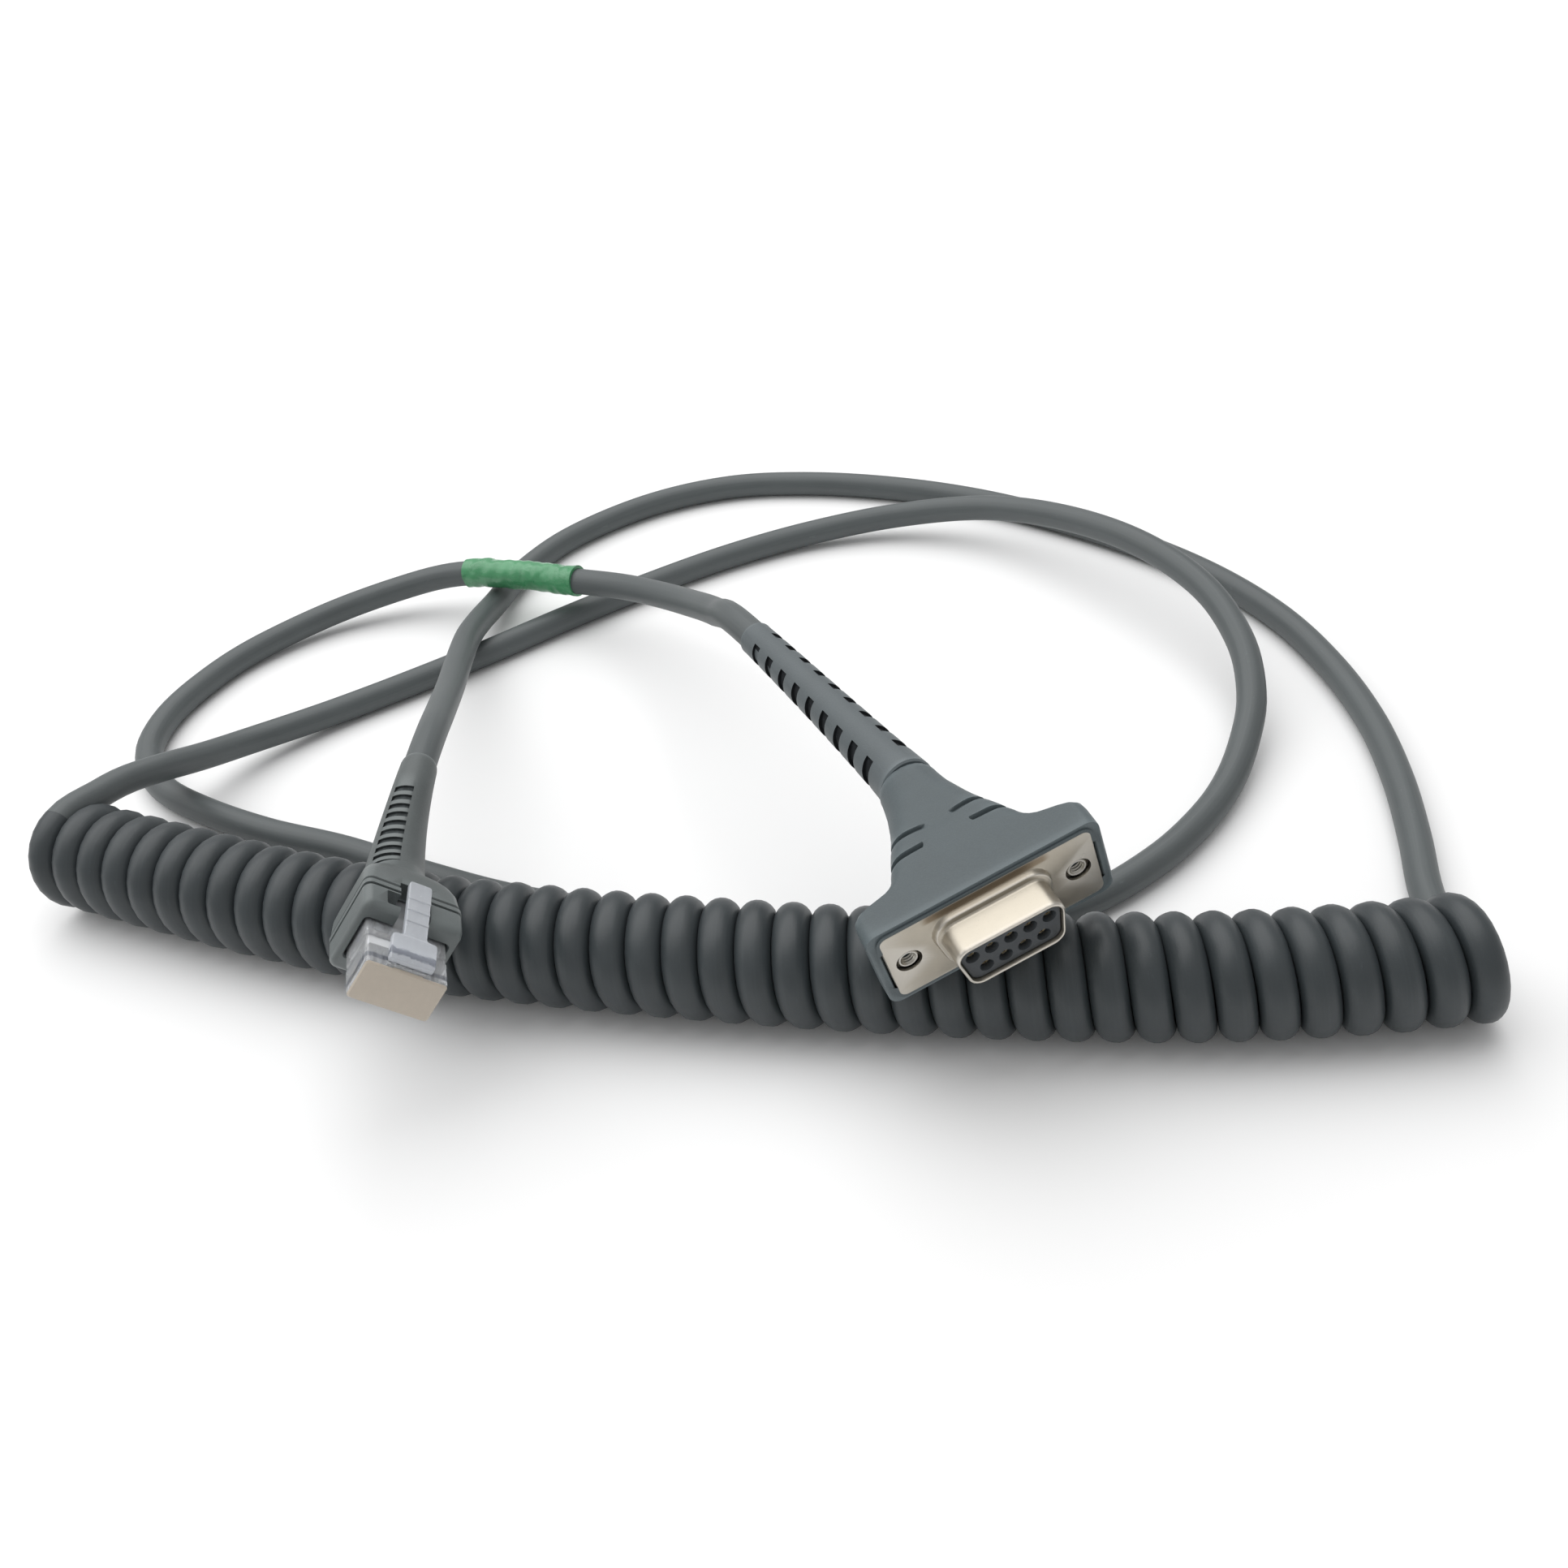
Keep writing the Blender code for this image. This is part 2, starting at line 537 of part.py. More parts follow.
def make_cords(bench, scanner_lead, host_lead):
    """The two leads, the curly section's outer shape and the tape on the host lead."""
    for name, line in (("scanner_lead", scanner_lead), ("host_lead", host_lead)):
        add(name, tube_curve(line, CORD_RADIUS), bench, PVC)
    coil = smooth_line(in_metres(COIL_ROUTE), 14 * MM)
    add("curly_cord", tube_curve(coil, COIL_RADIUS, 4), bench, PVC)
    wrapped = stretch(host_lead, TAPE_START, TAPE_START + TAPE_LENGTH)
    cleared = stretch(host_lead, TAPE_START - MM, TAPE_START + TAPE_LENGTH + MM)
    tape = add("marker_tape", solid(tube_curve(wrapped, BORE_RADIUS + TAPE_WALL, 2)), bench, GREEN)
    shape_with(tape, "DIFFERENCE", [solid(tube_curve(cleared, BORE_RADIUS, 2))])


def build():
    """Make the whole cable."""
    bench = empty("bench", (0, 0, 0), Euler())
    host = empty("host_plug", HOST_PLACE, HOST_TURN, bench)
    scanner = empty("scanner_plug", SCANNER_PLACE, SCANNER_TURN, bench)
    bpy.context.view_layer.update()
    scanner_lead = scanner_line(scanner)
    host_lead = host_line(host)
    make_shells(host)
    make_insulators(host)
    make_contacts(host)
    make_threaded_inserts(host)
    make_hood(host)
    make_host_relief(bench, host_lead)
    make_plug_body(scanner)
    make_blades(scanner)
    make_latch(scanner)
    make_boot(scanner, bench, scanner_lead)
    make_cords(bench, scanner_lead, host_lead)
    bench.location = BENCH_SHIFT


clear_scene()
PARTS = collection("scanner_cable")
CUTTERS = collection("cutters")
PVC = material("grey_pvc", (0.105, 0.125, 0.130), 0.55)
NICKEL = material("nickel", (0.62, 0.58, 0.52), 0.3, 1.0)
BLACK = material("black_plastic", (0.02, 0.022, 0.025), 0.5)
GOLD = material("gold_plate", (0.83, 0.62, 0.28), 0.25, 1.0)
CLEAR = material("clear_polycarbonate", (0.85, 0.86, 0.88), 0.12)
CORE_RED = material("core_insulation", (0.5, 0.06, 0.05), 0.5)
GREEN = material("green_tape", (0.07, 0.30, 0.11), 0.35)
build()
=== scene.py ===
"""Looks of a scanner's interface cable, lying on a bench.

A clear modular plug and a nine-way socket plug are joined by a straight lead, a curly section and a longer
straight lead. Each plug is built in its own frame, in millimetres: +Y is the way it mates, +Z the side that
faces up, and the origin is the centre of its mating face. Cords are built in metres, in the row's frame.
"""

import logging
import math
from dataclasses import dataclass, field
from enum import Enum
from typing import Any, Iterable, Optional, Sequence

import bmesh
import bpy
from mathutils import Euler, Matrix, Vector


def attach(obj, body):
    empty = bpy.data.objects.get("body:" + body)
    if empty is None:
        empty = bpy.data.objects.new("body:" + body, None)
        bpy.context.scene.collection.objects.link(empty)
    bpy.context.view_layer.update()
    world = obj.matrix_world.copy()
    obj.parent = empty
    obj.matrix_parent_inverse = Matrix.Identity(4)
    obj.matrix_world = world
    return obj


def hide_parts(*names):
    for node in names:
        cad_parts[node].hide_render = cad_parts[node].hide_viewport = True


LOG = logging.getLogger("interface_cable")
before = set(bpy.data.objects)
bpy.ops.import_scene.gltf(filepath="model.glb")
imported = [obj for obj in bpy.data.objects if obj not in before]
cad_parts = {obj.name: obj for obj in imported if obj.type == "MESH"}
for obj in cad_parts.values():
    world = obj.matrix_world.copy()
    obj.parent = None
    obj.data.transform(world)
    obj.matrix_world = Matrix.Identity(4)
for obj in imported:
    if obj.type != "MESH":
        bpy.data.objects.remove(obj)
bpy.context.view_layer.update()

MM = 0.001
BENCH_SHIFT = Vector((11.34, -14.29, 0)) * MM
CORD_DIAMETER = 5.0 * MM

Colour = tuple[float, float, float]
Ring = list[Vector]


class Body(Enum):
    """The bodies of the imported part."""

    CABLE = "cable"
    LATCH = "latch"


class Slot(Enum):
    """The record's material slots."""

    PVC = "grey_pvc"
    NICKEL = "nickel"
    BLACK = "black_plastic"
    GOLD = "gold_plate"
    CLEAR = "clear_polycarbonate"
    CORE = "core_insulation"
    TAPE = "green_tape"


# --- Shader building ---------------------------------------------------------------------------------


class Value:
    """A number that varies over a surface. Arithmetic on it adds Math nodes."""

    def __init__(self, graph: "Graph", socket: bpy.types.NodeSocket) -> None:
        """Wraps an output socket of a graph."""
        self.graph = graph
        self.socket = socket

    def _math(self, operation: str, first: Any, second: Any) -> "Value":
        """Adds one Math node.

        Args:
            operation: The node's operation.
            first: Its first input, a number or a Value.
            second: Its second input, a number or a Value.

        Returns:
            The node's output.
        """
        node = self.graph.add("ShaderNodeMath", {"operation": operation}, {0: first, 1: second})
        return Value(self.graph, node.outputs[0])

    def __add__(self, other: Any) -> "Value":
        """Self plus other."""
        return self._math("ADD", self, other)

    def __radd__(self, other: Any) -> "Value":
        """Other plus self."""
        return self._math("ADD", other, self)

    def __sub__(self, other: Any) -> "Value":
        """Self less other."""
        return self._math("SUBTRACT", self, other)

    def __rsub__(self, other: Any) -> "Value":
        """Other less self."""
        return self._math("SUBTRACT", other, self)

    def __mul__(self, other: Any) -> "Value":
        """Self times other."""
        return self._math("MULTIPLY", self, other)

    def __rmul__(self, other: Any) -> "Value":
        """Other times self."""
        return self._math("MULTIPLY", other, self)

    def between(self, low: float, high: float) -> "Value":
        """A smooth step from 0 to 1.

        Args:
            low: Where it is 0.
            high: Where it is 1.

        Returns:
            The step, held to 0 and 1 outside.
        """
        node = self.graph.add("ShaderNodeMapRange", {"interpolation_type": "SMOOTHSTEP"},
                              {"Value": self, "From Min": low, "From Max": high})
        return Value(self.graph, node.outputs[0])


class Graph:
    """The node tree of one material."""

    def __init__(self, name: str) -> None:
        """Starts a material of that name with its Principled shader."""
        self.material = bpy.data.materials.new(name)
        self.material.use_nodes = True
        self.tree = self.material.node_tree
        self.shader = self.tree.nodes["Principled BSDF"]

    def add(self, kind: str, settings: Optional[dict[str, Any]] = None,
            inputs: Optional[dict[Any, Any]] = None) -> bpy.types.Node:
        """Adds any node.

        Args:
            kind: The node's type.
            settings: Its properties, set first. "stops" holds a ramp's places and colours.
            inputs: Values or links of its sockets, by name or number.

        Returns:
            The node.
        """
        node = self.tree.nodes.new(kind)
        for key, value in (settings or {}).items():
            if key == "stops":
                for index, (place, colour) in enumerate(value):
                    stops = node.color_ramp.elements
                    stop = stops[index] if index < len(stops) else stops.new(place)
                    stop.position = place
                    stop.color = (*colour, 1)
            else:
                setattr(node, key, value)
        for key, value in (inputs or {}).items():
            self.feed(node.inputs[key], value)
        return node

    def feed(self, socket: bpy.types.NodeSocket, value: Any) -> None:
        """Sets an input socket, or links it where the value is one of this graph's."""
        if isinstance(value, Value):
            self.tree.links.new(value.socket, socket)
        elif isinstance(value, bpy.types.NodeSocket):
            self.tree.links.new(value, socket)
        else:
            socket.default_value = value

    def set(self, **inputs: Any) -> None:
        """Feeds the shader's sockets. An underscore in a name stands for a space."""
        for key, value in inputs.items():
            self.feed(self.shader.inputs[key.replace("_", " ")], value)

    def object_place(self) -> bpy.types.NodeSocket:
        """The Object coordinates."""
        return self.add("ShaderNodeTexCoord").outputs["Object"]

    def attribute(self, name: str) -> bpy.types.NodeSocket:
        """A vector that the mesh carries."""
        return self.add("ShaderNodeAttribute", {"attribute_name": name}).outputs["Vector"]

    def scaled(self, place: bpy.types.NodeSocket, scale: Sequence[float]) -> bpy.types.NodeSocket:
        """A place stretched by a scale on each axis."""
        return self.add("ShaderNodeMapping", None, {"Vector": place, "Scale": tuple(scale)}).outputs[0]

    def parts(self, place: bpy.types.NodeSocket) -> tuple[Value, Value, Value]:
        """The X, Y and Z of a place."""
        node = self.add("ShaderNodeSeparateXYZ", None, {0: place})
        return tuple(Value(self, socket) for socket in node.outputs)

    def noise(self, place: bpy.types.NodeSocket, scale: float, detail: float = 2.0, rough: float = 0.5) -> Value:
        """Smooth noise, 0 to 1 about 0.5.

        Args:
            place: Where to read it.
            scale: Its coarseness, in bumps to the unit of place.
            detail: How many finer layers it has.
            rough: How strong those are.

        Returns:
            The noise.
        """
        node = self.add("ShaderNodeTexNoise", None, {"Vector": place, "Scale": scale, "Detail": detail,
                                                     "Roughness": rough})
        return Value(self, node.outputs[0])

    def cells(self, place: bpy.types.NodeSocket, scale: float) -> Value:
        """Distance to the nearest of scattered points."""
        node = self.add("ShaderNodeTexVoronoi", None, {"Vector": place, "Scale": scale})
        return Value(self, node.outputs["Distance"])

    def edges(self) -> Value:
        """How far a place stands out as an edge, about 0.5 where flat."""
        return Value(self, self.add("ShaderNodeNewGeometry").outputs["Pointiness"])

    def mix(self, factor: Any, first: Any, second: Any) -> bpy.types.NodeSocket:
        """One colour faded into another.

        Args:
            factor: 0 for the first, 1 for the second.
            first: A colour or a colour socket.
            second: A colour or a colour socket.

        Returns:
            The mixed colour.
        """
        ends = {index: (*c, 1) if isinstance(c, tuple) else c for index, c in ((6, first), (7, second))}
        node = self.add("ShaderNodeMix", {"data_type": "RGBA"}, {0: factor, **ends})
        return node.outputs[2]

    def bump(self, height: Value, strength: float, distance: float) -> bpy.types.NodeSocket:
        """Relief from a height.

        Args:
            height: The height, 0 to 1.
            strength: How much of it shows.
            distance: What 1 stands for, in metres.

        Returns:
            A normal.
        """
        node = self.add("ShaderNodeBump", None, {"Strength": strength, "Distance": distance,
                                                 "Height": height})
        return node.outputs[0]


def shade(colour: Colour, by: float) -> Colour:
    """A colour made lighter or darker by a factor."""
    return tuple(part * by for part in colour)


# --- Finishes ----------------------------------------------------------------------------------------


@dataclass(frozen=True)
class ExtrudedVinyl:
    """The satin PVC jacket of a cord: faint lines along it, handling marks and a fine grain."""

    name: str
    colour: Colour
    roughness: float = 0.5
    line_scale: float = 2200.0
    heat_set: bool = False

    def make(self) -> bpy.types.Material:
        """Makes the material, which reads the cord's own straightened place."""
        graph = Graph(self.name)
        place = graph.attribute("straight")
        lines = graph.noise(graph.scaled(place, (0.012, 1, 1)), self.line_scale, 3)
        clouds = graph.noise(graph.scaled(place, (0.35, 1, 1)), 260, 3, 0.6)
        marks = graph.noise(graph.scaled(place, (0.5, 1, 1)), 900, 4, 0.7).between(0.62, 0.74)
        grain = graph.noise(place, 5200, 2)
        base = graph.mix(clouds, shade(self.colour, 0.86), shade(self.colour, 1.14))
        base = graph.mix(lines.between(0.45, 0.7) * 0.35, base, shade(self.colour, 1.25))
        base = graph.mix(marks * 0.28, base, shade(self.colour, 1.9))
        if self.heat_set:
            waves = graph.noise(graph.scaled(place, (1, 0.2, 0.2)), 160, 2)
            base = graph.mix(waves.between(0.4, 0.75) * 0.4, base, shade(self.colour, 0.72))
        height = lines * 0.5 + grain * 0.35 + marks * 0.15
        graph.set(Base_Color=base, Roughness=self.roughness - 0.1 + clouds * 0.16 + marks * 0.12,
                  Normal=graph.bump(height, 0.22, 0.00016))
        graph.set(IOR=1.53, Specular_IOR_Level=0.45)
        return graph.material


@dataclass(frozen=True)
class MouldedVinyl:
    """Spark-textured moulded PVC, lighter where its edges have been handled."""

    name: str
    colour: Colour
    roughness: float = 0.55
    grain: float = 4.6
    wear: float = 0.35

    def make(self) -> bpy.types.Material:
        """Makes the material, which reads the piece's own place in millimetres."""
        graph = Graph(self.name)
        place = graph.attribute("own")
        texture = graph.noise(place, self.grain, 3, 0.6)
        pits = graph.cells(place, self.grain * 0.8)
        clouds = graph.noise(place, 0.22, 3, 0.55)
        scuffs = graph.noise(graph.scaled(place, (0.5, 1.6, 1)), 0.9, 4, 0.7).between(0.6, 0.76)
        worn = graph.edges().between(0.505, 0.56)
        base = graph.mix(clouds, shade(self.colour, 0.86), shade(self.colour, 1.15))
        base = graph.mix(texture.between(0.35, 0.7) * 0.3, base, shade(self.colour, 1.3))
        base = graph.mix(scuffs * 0.22, base, shade(self.colour, 1.8))
        base = graph.mix(worn * self.wear, base, shade(self.colour, 2.1))
        height = texture * 0.6 + pits * 0.4
        graph.set(Base_Color=base, Roughness=self.roughness - 0.08 + clouds * 0.12 + scuffs * 0.1 - worn * 0.1,
                  Normal=graph.bump(height, 0.3, 0.00012))
        graph.set(IOR=1.53, Specular_IOR_Level=0.42)
        return graph.material


@dataclass(frozen=True)
class SlotShadow:
    """Near-black, dull PVC on the floor and walls of a slot, mottled a little paler: painted shade for the slot's
    depth.
    """

    name: str
    colour: Colour = (0.012, 0.014, 0.016)

    def make(self) -> bpy.types.Material:
        """Makes the material."""
        graph = Graph(self.name)
        slot_mottle = graph.noise(graph.attribute("own"), 1.4, 3)
        # Painted shade: the slot's floor and walls are coloured near black, with paler mottling.
        graph.set(Base_Color=graph.mix(slot_mottle.between(0.4, 0.8) * 0.4, self.colour, shade(self.colour, 3.2)),
                  Roughness=0.75 + slot_mottle * 0.15)
        graph.set(Specular_IOR_Level=0.2)
        return graph.material


@dataclass(frozen=True)
class PlatedSteel:
    """Tin or nickel plate over pressed steel, with rolling lines, smears and bright worn edges. On the shell, a brown
    band above the D is a painted reflection of dark surroundings.
    """

    name: str
    colour: Colour
    roughness: float = 0.3
    lines: Sequence[float] = (0.25, 4, 4)
    own: bool = True
    # Whether a painted brown reflection band lies above the D.
    painted_reflection: bool = False

    def make(self) -> bpy.types.Material:
        """Makes the material."""
        graph = Graph(self.name)
        place = graph.attribute("own") if self.own else graph.scaled(graph.object_place(), (1000, 1000, 1000))
        rolled = graph.noise(graph.scaled(place, self.lines), 3.0, 3, 0.6)
        smears = graph.noise(place, 0.35, 3, 0.6)
        specks = graph.noise(place, 6.5, 2).between(0.66, 0.76)
        worn = graph.edges().between(0.51, 0.58)
        base = graph.mix(smears, shade(self.colour, 0.86), shade(self.colour, 1.08))
        base = graph.mix(specks * 0.3, base, shade(self.colour, 0.5))
        # Painted reflection: a brown band across the plate above the D's collar, standing in for dark surroundings
        # mirrored in the metal.
        if self.painted_reflection:
            across, _, up = graph.parts(place)
            reflection_mask = (1 - across.between(8.2, 9.6)) * across.between(-9.6, -8.2) * up.between(4.7, 5.2)
            base = graph.mix(reflection_mask * 0.75, base, (0.2, 0.145, 0.09))
        base = graph.mix(worn * 0.4, base, (0.9, 0.88, 0.84))
        graph.set(Base_Color=base, Metallic=1.0 - specks * 0.15,
                  Roughness=self.roughness - 0.08 + rolled * 0.1 + smears * 0.14 + specks * 0.1 - worn * 0.08,
                  Normal=graph.bump(rolled * 0.7 + smears * 0.3, 0.12, 0.00006))
        return graph.material


@dataclass(frozen=True)
class HardPlastic:
    """Glass-filled thermoplastic with a fine sparkle of fibre ends."""

    name: str
    colour: Colour
    roughness: float = 0.45
    own: bool = True

    def make(self) -> bpy.types.Material:
        """Makes the material."""
        graph = Graph(self.name)
        place = graph.attribute("own") if self.own else graph.scaled(graph.object_place(), (1000, 1000, 1000))
        fibres = graph.noise(graph.scaled(place, (4.5, 1, 1.4)), 3.4, 3, 0.7)
        clouds = graph.noise(place, 0.6, 3)
        base = graph.mix(clouds, shade(self.colour, 0.75), shade(self.colour, 1.25))
        base = graph.mix(fibres.between(0.6, 0.8) * 0.45, base, shade(self.colour, 2.4))
        graph.set(Base_Color=base, Roughness=self.roughness - 0.1 + clouds * 0.2,
                  Normal=graph.bump(fibres, 0.15, 0.00006))
        return graph.material


@dataclass(frozen=True)
class ClearPolycarbonate:
    """Clear moulded polycarbonate, a little cloudy inside, with flow lines and a dark band behind the nose."""

    name: str
    colour: Colour = (0.86, 0.88, 0.9)
    transmission: float = 0.72
    roughness: float = 0.1
    own: bool = True
    band: Colour = (0.2, 0.22, 0.28)

    def make(self) -> bpy.types.Material:
        """Makes the material."""
        graph = Graph(self.name)
        place = graph.attribute("own") if self.own else graph.scaled(graph.object_place(), (1000, 1000, 1000))
        flow = graph.noise(graph.scaled(place, (1, 0.25, 1)), 0.9, 4, 0.6)
        scratches = graph.noise(graph.scaled(place, (5, 0.4, 5)), 2.0, 3, 0.7).between(0.6, 0.8)
        base = graph.mix(flow, shade(self.colour, 0.9), shade(self.colour, 1.05))
        if self.own:
            along = graph.parts(place)[1]
            ragged = along + (graph.noise(place, 1.1, 3, 0.7) - 0.5) * 1.1
            # A ragged dark band across the piece, about 1.1 to 2.5 mm behind its nose.
            dark_band_mask = ragged.between(-2.5, -2.1) * (1 - ragged.between(-1.5, -1.1))
            base = graph.mix(dark_band_mask * 0.8, base, self.band)
        graph.set(Base_Color=base, Roughness=self.roughness - 0.04 + flow * 0.1 + scratches * 0.18,
                  Normal=graph.bump(flow * 0.6 + scratches * 0.4, 0.12, 0.0001))
        graph.set(Transmission_Weight=self.transmission, IOR=1.585, Coat_Roughness=0.05)
        return graph.material


@dataclass(frozen=True)
class VinylTape:
    """Stretched PVC tape: glossy, with stretch lines and paler creases."""

    name: str
    colour: Colour

    def make(self) -> bpy.types.Material:
        """Makes the material."""
        graph = Graph(self.name)
        place = graph.attribute("straight")
        stretch = graph.noise(graph.scaled(place, (1, 0.25, 0.25)), 1500, 3, 0.6)
        creases = graph.noise(graph.scaled(place, (0.5, 1, 1)), 620, 4, 0.65)
        clouds = graph.noise(place, 170, 3)
        base = graph.mix(clouds, shade(self.colour, 0.8), shade(self.colour, 1.25))
        base = graph.mix(creases.between(0.55, 0.72) * 0.4, base, (0.2, 0.45, 0.27))
        base = graph.mix(stretch.between(0.5, 0.75) * 0.25, base, shade(self.colour, 0.6))
        graph.set(Base_Color=base, Roughness=0.2 + clouds * 0.16 + creases.between(0.5, 0.75) * 0.15,
                  Normal=graph.bump(stretch * 0.4 + creases * 0.6, 0.45, 0.0003))
        graph.set(Coat_Weight=0.25, Coat_Roughness=0.12)
        return graph.material


@dataclass(frozen=True)
class BenchTop:
    """Plain pale laminate."""

    name: str = "bench_top"
    colour: Colour = (0.95, 0.95, 0.95)

    def make(self) -> bpy.types.Material:
        """Makes the material."""
        graph = Graph(self.name)
        clouds = graph.noise(graph.object_place(), 6, 3)
        graph.set(Base_Color=graph.mix(clouds, shade(self.colour, 0.985), shade(self.colour, 1.01)),
                  Roughness=0.62 + clouds * 0.06)
        graph.set(Specular_IOR_Level=0.3)
        return graph.material


CORD_VINYL = ExtrudedVinyl("cord_vinyl", (0.09, 0.102, 0.104))
# The curly section is coloured much darker than the leads: partly its own slate tone, partly painted shade for the
# coil's self-shadowing.
CURL_SHADED_VINYL = ExtrudedVinyl("curl_vinyl_painted_shade", (0.037, 0.045, 0.049), 0.46, heat_set=True)
HOOD_VINYL = MouldedVinyl("hood_vinyl", (0.077, 0.096, 0.103))
RELIEF_VINYL = MouldedVinyl("relief_vinyl", (0.096, 0.113, 0.12), 0.52, 5.2)
BOOT_VINYL = MouldedVinyl("boot_vinyl", (0.092, 0.104, 0.104), 0.5, 5.0, 0.45)
# Painted shade in recesses: near-black slots on the hood's relief, darker rungs and hollow on the boot.
SLOT_PAINTED_SHADE = SlotShadow("slot_painted_shade")
RUNG_PAINTED_SHADE = SlotShadow("rung_painted_shade", (0.042, 0.048, 0.05))
# The shell's plate carries the painted brown reflection band above the D.
SHELL_PLATE = PlatedSteel("shell_plate", (0.47, 0.43, 0.36), 0.34, painted_reflection=True)
INSERT_PLATE = PlatedSteel("insert_plate", (0.5, 0.48, 0.43), 0.36, (2, 0.3, 2))
REAR_PLATE = PlatedSteel("rear_plate", (0.66, 0.61, 0.53), 0.36, own=False)
GOLD_PLATE = PlatedSteel("contact_gold", (0.86, 0.63, 0.27), 0.26, own=False)
SOCKET_PLASTIC = HardPlastic("socket_plastic", (0.026, 0.032, 0.037))
REAR_PLASTIC = HardPlastic("rear_plastic", (0.024, 0.028, 0.031), own=False)
PLUG_CLEAR = ClearPolycarbonate("plug_clear")
LATCH_CLEAR = ClearPolycarbonate("latch_clear", (0.84, 0.87, 0.92), 0.55, 0.16)
PLUG_NOSE = ClearPolycarbonate("plug_nose", (0.52, 0.455, 0.375), 0.08, 0.32)
GUIDE_CLEAR = ClearPolycarbonate("guide_clear", (0.8, 0.82, 0.85), own=False)
TAPE_GREEN = VinylTape("marker_tape_green", (0.062, 0.275, 0.12))
CORE_COLOURS = {
    "red": (0.5, 0.05, 0.04), "white": (0.75, 0.74, 0.7), "green": (0.05, 0.3, 0.1),
    "brown": (0.16, 0.07, 0.03), "blue": (0.05, 0.13, 0.45),
}


# --- Lines -------------------------------------------------------------------------------------------


def smooth_line(route: Sequence[Vector], before: Optional[Vector] = None,
                after: Optional[Vector] = None) -> list[Vector]:
    """A fine Catmull-Rom curve through a route's points.

    Args:
        route: The points that it goes through.
        before: The direction in which it has to start, if that matters.
        after: The direction in which it has to end, if that matters.

    Returns:
        The curve's points, 24 to each span.
    """
    points = [Vector(point) for point in route]
    first, last = points[0] * 2 - points[1], points[-1] * 2 - points[-2]
    if before is not None:
        first = points[1] - before.normalized() * (points[1] - points[0]).length * 2
    if after is not None:
        last = points[-2] + after.normalized() * (points[-1] - points[-2]).length * 2
    ends = [first, *points, last]
    fine = []
    for back, start, stop, ahead in zip(ends, ends[1:], ends[2:], ends[3:]):
        for step in range(24):
            t = step / 24
            fine.append(0.5 * (2 * start + (stop - back) * t + (2 * back - 5 * start + 4 * stop - ahead) * t ** 2
                               + (3 * start - 3 * stop + ahead - back) * t ** 3))
    return fine + [points[-1]]


def distances(line: Sequence[Vector]) -> list[float]:
    """The distance travelled at each point of a line."""
    travelled = [0.0]
    for start, stop in zip(line, line[1:]):
        travelled.append(travelled[-1] + (stop - start).length)
    return travelled


def point_at(line: Sequence[Vector], distance: float) -> Vector:
    """The point that lies a distance along a line, which runs on straight past its ends."""
    if distance < 0:
        return line[0] + (line[0] - line[1]).normalized() * -distance
    for start, stop in zip(line, line[1:]):
        step = (stop - start).length
        if distance <= step and step > 0:
            return start.lerp(stop, distance / step)
        distance -= step
    return line[-1] + (line[-1] - line[-2]).normalized() * distance


def spaced(line: Sequence[Vector], spacing: float) -> list[Vector]:
    """The same line with evenly spaced points, about `spacing` apart."""
    travelled = distances(line)
    count = max(2, round(travelled[-1] / spacing) + 1)
    found, index = [], 0
    for number in range(count):
        goal = travelled[-1] * number / (count - 1)
        while index < len(line) - 2 and travelled[index + 1] < goal:
            index += 1
        step = max(travelled[index + 1] - travelled[index], 1e-9)
        found.append(line[index].lerp(line[index + 1], min(1.0, (goal - travelled[index]) / step)))
    return found


def upright_frame(line: Sequence[Vector], distance: float) -> Matrix:
    """A frame on a line: X to its side, Y ahead and Z as near to up as it can be."""
    place = point_at(line, distance)
    ahead = (point_at(line, distance + 0.5 * MM) - point_at(line, distance - 0.5 * MM)).normalized()
    side = ahead.cross(Vector((0, 0, 1))).normalized()
    turn = Matrix((side, ahead, side.cross(ahead))).transposed().to_4x4()
    return Matrix.Translation(place) @ turn


def carried_frame(line: Sequence[Vector], distance: float, across: Vector, toward: int = 1) -> Matrix:
    """A plug's frame carried along the lead that leaves it.

    Args:
        line: The lead's centreline.
        distance: How far along it the frame is.
        across: The plug's X axis.
        toward: 1 where the line runs towards the plug and -1 where it runs from it.

    Returns:
        The frame.
    """
    step = 0.5 * MM
    ahead = (point_at(line, distance + step) - point_at(line, distance - step)).normalized() * toward
    side = (across - ahead * across.dot(ahead)).normalized()
    turn = Matrix((side, ahead, side.cross(ahead))).transposed().to_4x4()
    return Matrix.Translation(point_at(line, distance)) @ turn


# --- Outlines ----------------------------------------------------------------------------------------


def flat(points: Iterable[tuple[float, float]], y: float) -> Ring:
    """Outline points in X and Z, placed at a Y."""
    return [Vector((x, y, z)) for x, z in points]


def rounded(corners: Sequence[tuple[float, float]], radius: float, steps: int = 6) -> list[tuple[float, float]]:
    """An outline whose corners are arcs of the given radius.

    Args:
        corners: The sharp corners, in order.
        radius: The radius of every corner.
        steps: How many pieces each arc has.

    Returns:
        The outline's points.
    """
    outline = []
    for index, corner in enumerate(corners):
        corner = Vector(corner)
        back = (Vector(corners[index - 1]) - corner).normalized()
        ahead = (Vector(corners[(index + 1) % len(corners)]) - corner).normalized()
        half = back.angle(ahead) / 2
        centre = corner + (back + ahead).normalized() * radius / math.sin(half)
        reach = radius / math.tan(half)
        first = (corner + back * reach - centre).normalized()
        last = (corner + ahead * reach - centre).normalized()
        for step in range(steps + 1):
            point = centre + first.slerp(last, step / steps) * radius
            outline.append((point.x, point.y))
    return outline


